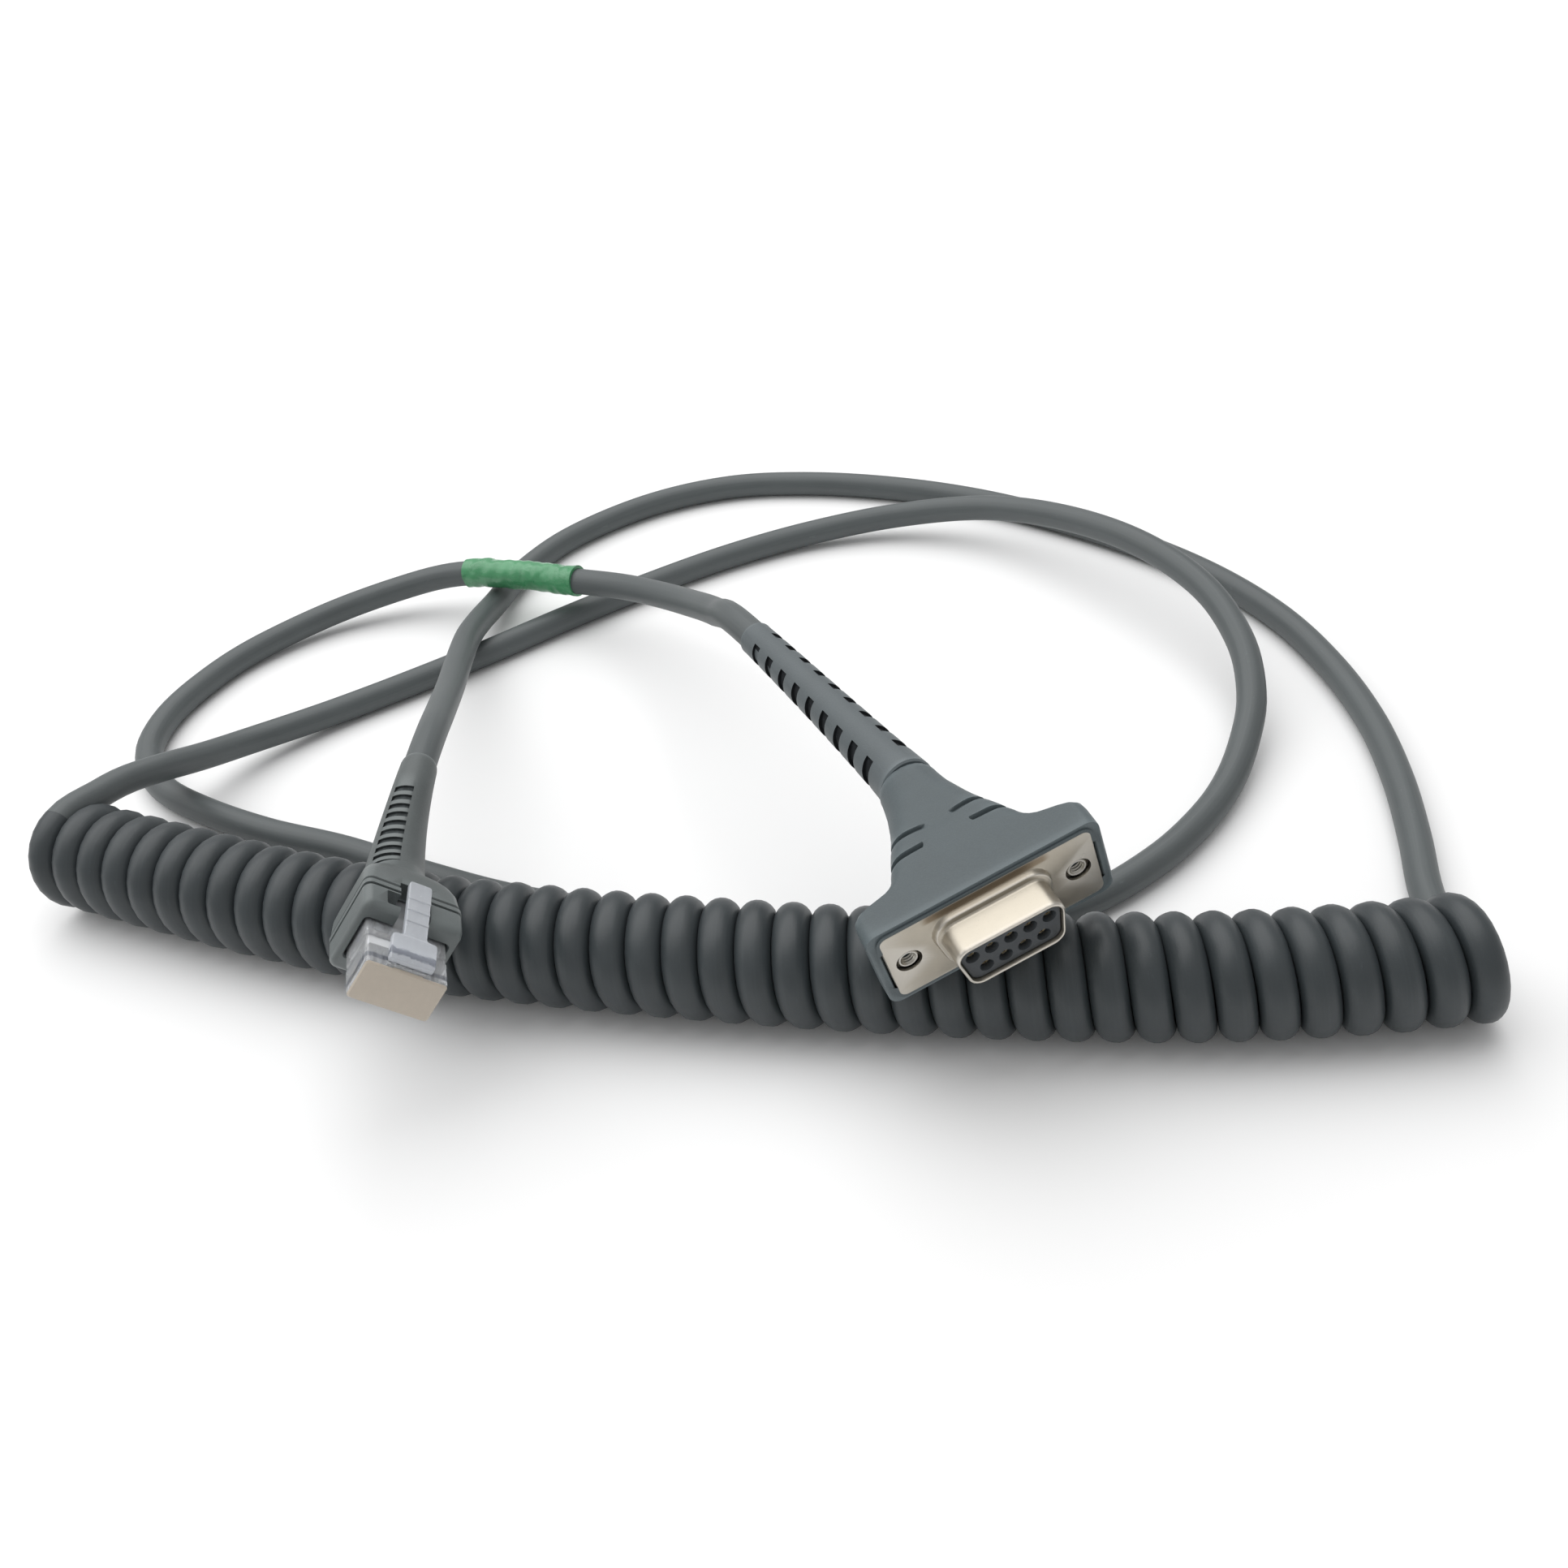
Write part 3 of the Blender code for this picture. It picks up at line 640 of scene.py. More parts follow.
def rectangle(width: float, height: float, radius: float) -> list[tuple[float, float]]:
    """Outline of a rounded rectangle about the origin."""
    x, z = width / 2, height / 2
    return rounded([(x, z), (-x, z), (-x, -z), (x, -z)], radius)


def d_shape(width: float, height: float, radius: float) -> list[tuple[float, float]]:
    """Outline of a D-subminiature shell: wide side up, both sides leaning in by 10 degrees."""
    x, z = width / 2, height / 2
    lean = height * math.tan(math.radians(10))
    return rounded([(x, z), (-x, z), (-x + lean, -z), (x - lean, -z)], radius)


@dataclass(frozen=True)
class Section:
    """A rounded section with the same number of points in each quarter, so that any two can be skinned."""

    corner: int = 6
    wide: int = 8
    tall: int = 4

    @property
    def quarter(self) -> int:
        """Pieces in a quarter of the outline."""
        return self.corner + (self.wide + self.tall) // 2

    def box(self, x: float, z: float, radius: float, low: Optional[float] = None) -> list[tuple[float, float]]:
        """A rounded rectangle that starts at the middle of its +X side and runs by +Z.

        Args:
            x: Half its width.
            z: Its top.
            radius: Its corner radius.
            low: Its bottom, where that isn't -z.

        Returns:
            The outline's points.
        """
        bottom = -z if low is None else low
        arcs = []
        for cx, cz, start in ((x, z, 0), (-x, z, 90), (-x, bottom, 180), (x, bottom, 270)):
            inner = (cx - math.copysign(radius, cx), cz - radius if cz == z else cz + radius)
            arcs.append([(inner[0] + radius * math.cos(math.radians(start + 90 * step / self.corner)),
                          inner[1] + radius * math.sin(math.radians(start + 90 * step / self.corner)))
                         for step in range(self.corner + 1)])
        outline = []
        middle = (x, (arcs[0][0][1] + arcs[3][-1][1]) / 2)
        runs = [(middle, arcs[0][0], self.tall // 2), (arcs[0][-1], arcs[1][0], self.wide),
                (arcs[1][-1], arcs[2][0], self.tall), (arcs[2][-1], arcs[3][0], self.wide),
                (arcs[3][-1], middle, self.tall // 2)]
        for number, (start, stop, count) in enumerate(runs):
            outline += [(start[0] + (stop[0] - start[0]) * step / count,
                         start[1] + (stop[1] - start[1]) * step / count) for step in range(count)]
            if number < 4:
                outline += arcs[number][:-1]
        return outline

    def circle(self, radius: float, tall: float = 1.0) -> list[tuple[float, float]]:
        """A circle, or an ellipse `tall` times as high as it is wide."""
        count = 4 * self.quarter
        return [(radius * math.cos(math.tau * step / count), radius * tall * math.sin(math.tau * step / count))
                for step in range(count)]


# --- Meshes ------------------------------------------------------------------------------------------


class Skin:
    """A closed surface drawn out ring by ring, as a moulding follows its sections."""

    def __init__(self, first: Ring, carries: str = "") -> None:
        """Starts at a ring of points, on a mesh whose vertices may carry a named vector."""
        self.mesh = bmesh.new()
        self.layer = self.mesh.verts.layers.float_vector.new(carries) if carries else None
        ring = [self.mesh.verts.new(point) for point in first]
        self.rings = [ring]
        self.first_edges = [self.mesh.edges.new(pair) for pair in zip(ring, ring[1:] + ring[:1])]
        self.last_edges = self.first_edges

    def draw(self, ring: Ring) -> "Skin":
        """Extrudes the last ring to the places of the next one, which has as many points."""
        grown = bmesh.ops.extrude_edge_only(self.mesh, edges=self.last_edges)["geom"]
        fresh = {part for part in grown if isinstance(part, bmesh.types.BMVert)}
        made = []
        for old, point in zip(self.rings[-1], ring):
            new = next(edge.other_vert(old) for edge in old.link_edges if edge.other_vert(old) in fresh)
            new.co = point
            made.append(new)
        self.last_edges = [part for part in grown if isinstance(part, bmesh.types.BMEdge)
                           and all(vert in fresh for vert in part.verts)]
        self.rings.append(made)
        return self

    def through(self, rings: Iterable[Ring]) -> "Skin":
        """Draws through several rings."""
        for ring in rings:
            self.draw(ring)
        return self

    def cap(self) -> bmesh.types.BMesh:
        """Closes both ends with a face and returns the mesh."""
        bmesh.ops.edgeloop_fill(self.mesh, edges=self.first_edges)
        bmesh.ops.edgeloop_fill(self.mesh, edges=self.last_edges)
        return self._outward()

    def join(self) -> bmesh.types.BMesh:
        """Joins the last ring to the first, as in a pipe's inner and outer wall, and returns the mesh."""
        bmesh.ops.bridge_loops(self.mesh, edges=self.first_edges + self.last_edges)
        return self._outward()

    def _outward(self) -> bmesh.types.BMesh:
        """Turns every face outwards."""
        bmesh.ops.recalc_face_normals(self.mesh, faces=self.mesh.faces)
        if self.mesh.calc_volume(signed=True) < 0:
            bmesh.ops.reverse_faces(self.mesh, faces=self.mesh.faces)
        return self.mesh

    def cell(self, row: int, column: int) -> bmesh.types.BMFace:
        """The face between ring `row` and the next, from point `column` to the next."""
        first, second = self.rings[row], self.rings[row + 1]
        count = len(first)
        corners = {first[column % count], first[(column + 1) % count],
                   second[column % count], second[(column + 1) % count]}
        return next(face for face in first[column % count].link_faces if set(face.verts) == corners)


def sink(mesh: bmesh.types.BMesh, faces: Sequence[bmesh.types.BMFace], depth: float,
         corner: float, paint: int) -> None:
    """Sinks a patch of faces into a pocket with rounded ends.

    Args:
        mesh: The mesh.
        faces: The patch.
        depth: How deep it goes, against the faces' normals.
        corner: Radius of the pocket's corners.
        paint: Material number of its floor and walls, which carries a painted shade.
    """
    normal = sum((face.normal for face in faces), Vector()).normalized()
    grown = bmesh.ops.extrude_face_region(mesh, geom=list(faces))["geom"]
    bmesh.ops.delete(mesh, geom=list(faces), context="FACES_ONLY")
    floor = {part for part in grown if isinstance(part, bmesh.types.BMVert)}
    for vert in floor:
        vert.co -= normal * depth
    patch = {part for part in grown if isinstance(part, bmesh.types.BMFace)}
    walls = {face for vert in floor for face in vert.link_faces} - patch
    for face in patch | walls:
        face.material_index = paint
    upright = [edge for edge in {edge for face in walls for edge in face.edges}
               if len([vert for vert in edge.verts if vert in floor]) == 1
               and edge.calc_face_angle(0) > math.radians(50)]
    bmesh.ops.bevel(mesh, geom=upright, offset=corner, offset_type="OFFSET", segments=4, profile=0.5,
                    affect="EDGES", material=-1)


def rod(radius: float, front: float, back: float, x: float = 0.0, z: float = 0.0, sides: int = 32,
        profile: Optional[Sequence[tuple[float, float]]] = None) -> bmesh.types.BMesh:
    """A turned rod along Y.

    Args:
        radius: Its radius where no profile is given.
        front: Its front end.
        back: Its back end.
        x: Where its axis is.
        z: Where its axis is.
        sides: How many sides it has.
        profile: Radius and Y along it, from front to back, where it isn't plain.

    Returns:
        The closed mesh.
    """
    outline = profile or ((radius, front), (radius, back))
    rings = [[Vector((x + r * math.cos(math.tau * step / sides), y, z + r * math.sin(math.tau * step / sides)))
              for step in range(sides)] for r, y in outline]
    return Skin(rings[0]).through(rings[1:]).cap()


def merged(meshes: Iterable[bmesh.types.BMesh]) -> bmesh.types.BMesh:
    """One mesh that holds several."""
    whole = bmesh.new()
    for part in meshes:
        data = bpy.data.meshes.new("part")
        part.to_mesh(data)
        part.free()
        whole.from_mesh(data)
        bpy.data.meshes.remove(data)
    return whole


def cut(mesh: bmesh.types.BMesh, cutter: bmesh.types.BMesh, operation: str = "DIFFERENCE") -> bmesh.types.BMesh:
    """Cuts a mesh by another, or joins the two.

    Args:
        mesh: The mesh, which is freed.
        cutter: The other mesh, which is freed.
        operation: DIFFERENCE, UNION or INTERSECT.

    Returns:
        The new mesh.
    """
    objects = []
    before = mesh.calc_volume()
    for part in (mesh, cutter):
        data = bpy.data.meshes.new("part")
        part.to_mesh(data)
        part.free()
        obj = bpy.data.objects.new("part", data)
        bpy.context.scene.collection.objects.link(obj)
        objects.append(obj)
    change = objects[0].modifiers.new("cut", "BOOLEAN")
    change.operation = operation
    change.object = objects[1]
    change.solver = "EXACT"
    evaluated = objects[0].evaluated_get(bpy.context.evaluated_depsgraph_get())
    made = bmesh.new()
    made.from_mesh(evaluated.to_mesh())
    evaluated.to_mesh_clear()
    for obj in objects:
        data = obj.data
        bpy.data.objects.remove(obj)
        bpy.data.meshes.remove(data)
    bmesh.ops.remove_doubles(made, verts=made.verts, dist=0.0005)
    if operation == "DIFFERENCE" and made.calc_volume() < 0.3 * before:
        raise ValueError("a cut took away most of its piece")
    return made


def soften(mesh: bmesh.types.BMesh, offset: float, over: float = 40.0, segments: int = 2) -> bmesh.types.BMesh:
    """Rounds every edge that is sharper than an angle.

    Args:
        mesh: The mesh.
        offset: How wide the rounding is.
        over: The angle, in degrees.
        segments: How many pieces the rounding has.

    Returns:
        The same mesh.
    """
    sharp = [edge for edge in mesh.edges if edge.calc_face_angle(0) > math.radians(over)]
    bmesh.ops.bevel(mesh, geom=sharp, offset=offset, offset_type="OFFSET", segments=segments, profile=0.5,
                    affect="EDGES", material=-1, clamp_overlap=True)
    return mesh


def finished(name: str, mesh: bmesh.types.BMesh, finishes: Sequence[bpy.types.Material],
             place: Matrix, sharp: float = 34.0) -> bpy.types.Object:
    """Places a mesh in the row's frame and makes it an object.

    Args:
        name: The piece's name.
        mesh: The mesh in its own frame, which is freed.
        finishes: Its materials.
        place: Where its own frame is.
        sharp: The angle in degrees over which an edge isn't shaded smooth.

    Returns:
        The object, at the origin.
    """
    if "own" not in mesh.verts.layers.float_vector:
        layer = mesh.verts.layers.float_vector.new("own")
        for vert in mesh.verts:
            vert[layer] = vert.co
    bmesh.ops.transform(mesh, matrix=place, verts=mesh.verts)
    for face in mesh.faces:
        face.smooth = True
    for edge in mesh.edges:
        edge.smooth = edge.calc_face_angle(0) < math.radians(sharp)
    data = bpy.data.meshes.new(name)
    mesh.to_mesh(data)
    mesh.free()
    for finish in finishes:
        data.materials.append(finish)
    obj = bpy.data.objects.new(name, data)
    bpy.context.scene.collection.objects.link(obj)
    return obj


def hand_over(obj: bpy.types.Object, body: Body, slot: Slot, *nodes: str) -> bpy.types.Object:
    """Ties a piece to its body, hides the CAD nodes that it stands for, and reports it.

    Args:
        obj: The piece.
        body: The body that it rides on.
        slot: Not used.
        nodes: The nodes that it replaces.

    Returns:
        The piece.
    """
    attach(obj, body.value)
    if nodes:
        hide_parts(*nodes)
    LOG.info("%s: %d faces, rides on %s", obj.name, len(obj.data.polygons), body.value)
    return obj


def dress(material: bpy.types.Material, *nodes: str) -> None:
    """Gives CAD nodes a better material."""
    for name in nodes:
        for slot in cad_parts[name].material_slots:
            slot.material = material


# --- Cords -------------------------------------------------------------------------------------------


@dataclass
class Plug:
    """Where a plug's own frame is, and points on its axis for its cord to reach into."""

    centre: Vector
    turn: Euler

    @property
    def pose(self) -> Matrix:
        """From the plug's frame, in metres, to the row's."""
        return Matrix.Translation(self.centre + BENCH_SHIFT) @ self.turn.to_matrix().to_4x4()

    @property
    def place(self) -> Matrix:
        """From the plug's frame, in millimetres, to the row's, in metres."""
        return self.pose @ Matrix.Scale(MM, 4)

    def inside(self, *places: float) -> list[Vector]:
        """Points on the plug's axis, by their Y in millimetres."""
        return [self.place @ Vector((0, y, 0)) for y in places]


HOST_PLUG = Plug(Vector((24.6, -68.0, 27.0)) * MM,
                 Euler((math.radians(-5), math.radians(14), math.radians(196)), "YXZ"))
SCANNER_PLUG = Plug(Vector((-54.1, -65.5, 25.7)) * MM,
                    Euler((math.radians(4.6), math.radians(-40.2), math.radians(187.8)), "YXZ"))

COIL_ROUTE = [
    (-119.5, -2.9, 9.1), (-102, -12.8, 9.1), (-80.5, -24.4, 9.1), (-58.5, -34.8, 9.1), (-35, -43.4, 9.1),
    (-11, -51, 9.1), (11.5, -57.5, 9.1), (33.5, -63, 9.1), (55, -67.3, 9.1), (76.5, -69.8, 9.1), (90, -70.3, 9.1),
]
SCANNER_ROUTE = [
    (-57.1, -28.8, 24.6), (-55.7, -18, 26), (-54.8, -7, 25.1), (-54.9, 4, 21.9), (-55.5, 18.5, 17),
    (-56, 32.5, 13), (-56, 46.5, 9.4), (-55, 56, 6.9), (-53, 66.5, 4.2), (-48, 80.5, 2.75), (-37.5, 93, 2.55),
    (-20.5, 102.5, 2.55), (-2.5, 105.5, 2.55), (15, 102, 2.55), (32.5, 94.5, 2.55), (48.5, 84.5, 2.55),
    (63, 72, 2.55), (76, 58, 2.55), (87, 42, 2.55), (94.5, 25, 2.55), (98, 8, 2.55), (98.8, -8.5, 2.55),
    (97.3, -24, 2.55), (94.5, -38, 2.55), (91.5, -50, 2.55), (90.2, -61.6, 2.55),
]
HOST_ROUTE = [
    (-114.8, 5, 14.6), (-111.5, 9.5, 13.6), (-107, 14.5, 11.6), (-102.5, 21, 8.3), (-96, 29, 4.9),
    (-83.5, 37, 2.9), (-69.5, 43.8, 2.55), (-54, 51.5, 2.55), (-38.5, 60, 2.55), (-21.5, 68.5, 2.55),
    (-4.5, 75.5, 2.55), (13, 79.5, 3), (31, 78.5, 4.8), (48, 71, 8), (61, 58, 11), (72, 41.5, 12.8),
    (79.5, 25, 12), (82, 10.5, 9.4), (80.5, -1.5, 6.4), (76.5, -11, 4.2), (71, -20, 2.9), (64, -28, 2.55),
    (55, -35.5, 2.55), (43, -42, 2.55), (28, -45.5, 2.55), (10, -42.5, 2.55), (-10, -36.8, 2.55),
    (-28, -30.8, 2.55), (-45, -23.4, 2.55), (-60, -14.5, 2.55), (-75, -4.5, 2.55), (-89.5, 3.5, 2.55),
    (-102.5, 12.5, 2.55), (-112, 21.5, 2.55), (-116.8, 32.5, 2.55), (-116, 43.5, 2.55), (-111, 54, 2.55),
    (-102.5, 64, 2.7), (-88, 72.5, 3.7), (-73, 75, 6), (-61, 73, 8.6), (-50, 68.3, 9.9), (-37, 61, 10.6),
    (-26, 53, 12.2), (-18.5, 43.5, 15), (-12.5, 33, 18.6), (-7.5, 20.5, 23.6), (-2.5, 6, 28.2),
]


def on_bench(route: Sequence[Sequence[float]]) -> list[Vector]:
    """A route's points in metres, in the row's frame."""
    return [Vector(point) * MM + BENCH_SHIFT for point in route]


@dataclass
class CordSet:
    """The three lengths of cord, end to end: host lead, curly section and scanner lead."""

    turns: float = 41.5
    winding: float = 6.6 * MM
    steps: int = 26
    sides: int = 22
    lead_spacing: float = 2.2 * MM
    pressed: float = 0.075
    flattened: float = 0.4
    curl: list[Vector] = field(default_factory=list)
    curl_axis: list[Vector] = field(default_factory=list)
    host: list[Vector] = field(default_factory=list)
    scanner: list[Vector] = field(default_factory=list)

    def lay(self) -> None:
        """Works out the three centrelines, each starting where the one before it ends."""
        self.curl = self._wind()
        into = self.curl[1] - self.curl[0]
        out = self.curl[-1] - self.curl[-2]
        host = [self.curl[0], *on_bench(HOST_ROUTE), *HOST_PLUG.inside(-28, -22, -16.2)]
        scanner = [*SCANNER_PLUG.inside(-12, -17, -22, -27), *on_bench(SCANNER_ROUTE), self.curl[-1]]
        self.host = spaced(smooth_line(host, before=-into), self.lead_spacing)
        self.scanner = spaced(smooth_line(scanner, after=-out), self.lead_spacing)

    def _wind(self) -> list[Vector]:
        """The curly section's centreline: a helix wound to the right round its own bent axis."""
        axis = smooth_line(on_bench(COIL_ROUTE))
        total = distances(axis)[-1]
        count = round(self.turns * self.steps)
        places = spaced(axis, total / count)
        line = []
        for index, place in enumerate(places):
            back, ahead = places[max(0, index - 1)], places[min(len(places) - 1, index + 1)]
            along = (ahead - back).normalized()
            self.curl_axis.append(along)
            side = Vector((0, 0, 1)).cross(along).normalized()
            angle = math.radians(90) + math.tau * self.turns * index / (len(places) - 1)
            line.append(place + (side * math.cos(angle) + Vector((0, 0, 1)) * math.sin(angle)) * self.winding)
        return line

    def tube(self, name: str, line: Sequence[Vector], finish: bpy.types.Material, first: Optional[Vector] = None,
             last: Optional[Vector] = None, axis: Sequence[Vector] = ()) -> bpy.types.Object:
        """A round jacket along a centreline.

        Args:
            name: The piece's name.
            line: The centreline.
            finish: The jacket's material.
            first: The direction of the line at its start, where it isn't that of its first two points.
            last: The direction at its end, likewise.
            axis: For a curly cord, the direction it is wound round at each point, along which it is pressed wide.

        Returns:
            The object, whose vertices carry their place on the straightened cord.
        """
        radius = CORD_DIAMETER / 2
        ways = [(b - a).normalized() for a, b in zip([line[0], *line[:-1]], [*line[1:], line[-1]])]
        ways[0] = (first or line[1] - line[0]).normalized()
        ways[-1] = (last or line[-1] - line[-2]).normalized()
        side = ways[0].orthogonal().normalized()
        rings, turns = [], [(math.cos(math.tau * n / self.sides), math.sin(math.tau * n / self.sides))
                            for n in range(self.sides)]
        for index, (place, way) in enumerate(zip(line, ways)):
            if axis:
                side = axis[index]
            elif index:
                side = ways[index - 1].rotation_difference(way) @ side
            side = (side - way * side.dot(way)).normalized()
            up = way.cross(side)
            wider = self.pressed * min(1.0, index / self.steps, (len(line) - 1 - index) / self.steps) if axis else 0.0
            wide, thin = radius * (1 + wider), radius * (1 - self.flattened * wider)
            rings.append([place + side * c * wide + up * s * thin for c, s in turns])
        skin = Skin(rings[0], carries="straight").through(rings[1:])
        for ring, along in zip(skin.rings, distances(line)):
            for vert, (c, s) in zip(ring, turns):
                vert[skin.layer] = Vector((along, c * radius, s * radius))
        return finished(name, skin.cap(), [finish], Matrix.Identity(4))

    def build(self) -> dict[str, bpy.types.Object]:
        """Builds the three lengths of cord.

        Returns:
            The pieces by name.
        """
        vinyl, curl_vinyl_painted_shade = CORD_VINYL.make(), CURL_SHADED_VINYL.make()
        into = self.curl[1] - self.curl[0]
        out = self.curl[-1] - self.curl[-2]
        host = self.tube("host_lead_cord", self.host, vinyl, first=-into)
        # The curly section takes the darker vinyl, whose colour is partly painted shade.
        curl = self.tube("curly_cord_turns", self.curl, curl_vinyl_painted_shade, axis=self.curl_axis)
        scanner = self.tube("scanner_lead_cord", self.scanner, vinyl, last=-out)
        hand_over(host, Body.CABLE, Slot.PVC, "host_lead")
        hand_over(curl, Body.CABLE, Slot.PVC, "curly_cord")
        hand_over(scanner, Body.CABLE, Slot.PVC, "scanner_lead")
        return {"host": host, "curl": curl, "scanner": scanner}

    def declare(self) -> None:
        """Logs how long each length of cord is.
        """
        distances(self.host)[-1]
        distances(self.curl)[-1]
        line = self.scanner[::-1]
        distances(line)[-1]
        for name, made in (("host lead", self.host), ("curly section", self.curl), ("scanner lead", line)):
            LOG.info("%s: %.3f m of cord", name, distances(made)[-1])


# --- Nine-way plug -----------------------------------------------------------------------------------


def strung(line: Sequence[Vector], stations: Iterable[tuple[float, Iterable[tuple[float, float]]]],
           place: Matrix, toward: int) -> list[Ring]:
    """Sections strung on a lead, turned as its plug is.

    Args:
        line: The lead's centreline, in metres.
        stations: For each section its distance along the line and its outline, in millimetres.
        place: The plug's place.
        toward: 1 where the line runs towards the plug and -1 where it runs from it.

    Returns:
        The rings, in metres.
    """
    rings = []
    across = place.to_3x3() @ Vector((1, 0, 0))
    for distance, outline in stations:
        pose = carried_frame(line, distance, across.normalized(), toward)
        rings.append([pose @ Vector((x * MM, 0, z * MM)) for x, z in outline])
    return rings


def slot_rows(start: float, stop: float, count: int, width: float) -> list[tuple[float, bool]]:
    """Where the rings of a slotted sleeve go.

    Args:
        start: Where the slots start.
        stop: Where they stop.
        count: How many there are.
        width: How wide each is.

    Returns:
        Each ring's distance, and whether a slot lies between it and the next one.
    """
    pitch = (stop - start) / count
    rows = []
    for index in range(count):
        middle = start + pitch * (index + 0.5)
        rows += [(middle - width / 2, True), (middle + width / 2, False)]
    return rows


@dataclass
class NineWayPlug:
    """The host plug: a moulded hood and strain relief round a pressed shell with nine sockets."""

    place: Matrix
    line: list[Vector]
    flange_width: float = 30.81
    flange_height: float = 12.55
    screw_x: float = 12.495
    shell_width: float = 16.4
    shell_height: float = 7.9
    pitch: float = 2.77
    row: float = 1.42
    hood_half: float = 16.9
    hood_top: float = 7.05
    hood_low: float = -7.5
    hood_back: float = -27.0
    jacket_end: float = -16.2
    relief_length: float = 48.5
    slots: int = 9

    def hood(self) -> bpy.types.Object:
        """Moulds the hood: a rim round the flange, two ears, a waisted neck and two finger grooves a side.

        Returns:
            The piece.
        """
        section = Section(6, 14, 6)
        low = self.hood_low
        inner = [
            (self.hood_back, section.circle(2.62)), (-16.4, section.circle(2.62)),
            (-16.0, section.box(4.4, 3.2, 1.5)), (-9.8, section.box(7.2, 4.4, 1.5)),
            (-5.95, section.box(9.95, 5.65, 1.5)), (-1.65, section.box(9.95, 5.65, 1.5)),
            (-1.6, section.box(15.65, 6.5, 1.4)), (-0.3, section.box(15.65, 6.5, 1.4)),
            (-0.05, section.box(15.8, 6.62, 1.5)),
        ]
        half = self.hood_half
        outer = [
            (0.0, half - 0.6, 0.55, 1.6), (-0.12, half - 0.3, 0.75, 1.7), (-0.5, half - 0.02, 1.0, 1.8),
            (-1.6, half, 1.0, 1.8), (-3.6, half, 1.0, 1.8), (-4.6, half - 0.15, 1.0, 1.8),
            (-5.1, half - 0.7, 1.0, 1.8),
            (-5.45, 15.2, 1.0, 1.9), (-5.75, 13.9, 1.0, 2.0), (-6.1, 12.5, 1.0, 2.1), (-6.7, 11.3, 1.0, 2.2),
            (-7.5, 10.4, 1.0, 2.3), (-8.4, 9.85, 0.99, 2.4), (-9.3, 9.5, 0.98, 2.5),
        ]
        rings = [flat(outline, y) for y, outline in inner]
        for y, x, share, radius in outer:
            rings.append(flat(section.box(x, self.hood_top * share if share < 1 else self.hood_top, radius,
                                          low * share), y))
        for y, x, top, radius, sunk in self._neck():
            outline = section.box(x, top, radius, -top)
            rings.append([self._grooved(px, pz, x, y, sunk) for px, pz in outline])
        mesh = Skin(rings[0]).through(rings[1:]).join()
        hood = finished("hood_moulding", mesh, [HOOD_VINYL.make()], self.place, 42)
        return hand_over(hood, Body.CABLE, Slot.PVC, "host_hood")

    def _neck(self) -> list[tuple[float, float, float, float, float]]:
        """The neck's sections: Y, half width, half height, corner radius and how deep its groove is."""
        outline = [(-9.6, 9.4, 6.88), (-12.5, 8.3, 6.5), (-17.0, 6.5, 5.75), (-22.0, 5.2, 5.0),
                   (-25.2, 4.6, 4.6), (-27.0, 4.4, 4.42)]
        stations = [-9.7, -9.85, -10.0, -10.15, -10.6, -10.75, -10.9, -11.1, -12.4, -13.6, -13.8, -13.95,
                    -14.15, -14.5, -14.65, -14.8, -15.0, -16.4, -18.0, -20.0, -22.0, -24.0, -25.6, -26.4,
                    -26.85, -27.0]
        deep = {-10.0: 0.55, -10.15: 0.75, -10.6: 0.75, -10.75: 0.3, -13.95: 0.5, -14.15: 0.7, -14.5: 0.65,
                -14.65: 0.25}
        found = []
        for y in stations:
            (y0, x0, top0), (y1, x1, top1) = next(pair for pair in zip(outline, outline[1:]) if pair[1][0] <= y)
            share = (y0 - y) / (y0 - y1)
            x, top = x0 + (x1 - x0) * share, top0 + (top1 - top0) * share
            end = 0.35 if y < -26.9 else 0.12 if y < -26.8 else 0.0
            found.append((y, x - end, top - end, 2.6 + 1.6 * min(1.0, (-y - 9.0) / 14), deep.get(y, 0.0)))
        return found

    @staticmethod
    def _grooved(x: float, z: float, half: float, y: float, sunk: float) -> Vector:
        """A point of the neck, drawn in where a finger groove runs round its side.

        Args:
            x: Its X.
            z: Its Z.
            half: The neck's half width there.
            y: Its Y.
            sunk: The groove's depth.

        Returns:
            The point.
        """
        near = min(1.0, max(0.0, (abs(x) - half + 5.6) / 0.9))
        bend = 0.09 if -15.1 < y < -12.5 else -0.032 if -11.2 < y < -9.6 else 0.0
        swept = y + bend * (half - abs(x))
        return Vector((x - math.copysign(sunk * near * 0.9, x), swept, z - math.copysign(sunk * near * 0.9, z)))

    def relief(self) -> bpy.types.Object:
        """Moulds the slotted sleeve behind the hood, which follows the lead.

        Returns:
            The piece.
        """
        section = Section(8, 4, 8)
        total = distances(self.line)[-1]
        stop = total - (self.jacket_end - self.hood_back) * MM - 0.05 * MM
        start = stop - self.relief_length * MM
        length = self.relief_length * MM
        rows = slot_rows(start + 3.2 * MM, stop - 3.0 * MM, self.slots, 1.9 * MM)

        def radius(distance: float) -> float:
            """The sleeve's radius at a distance along the lead, in millimetres."""
            share = (distance - start) / length
            return 2.85 + 0.85 * share + 0.5 * share ** 3

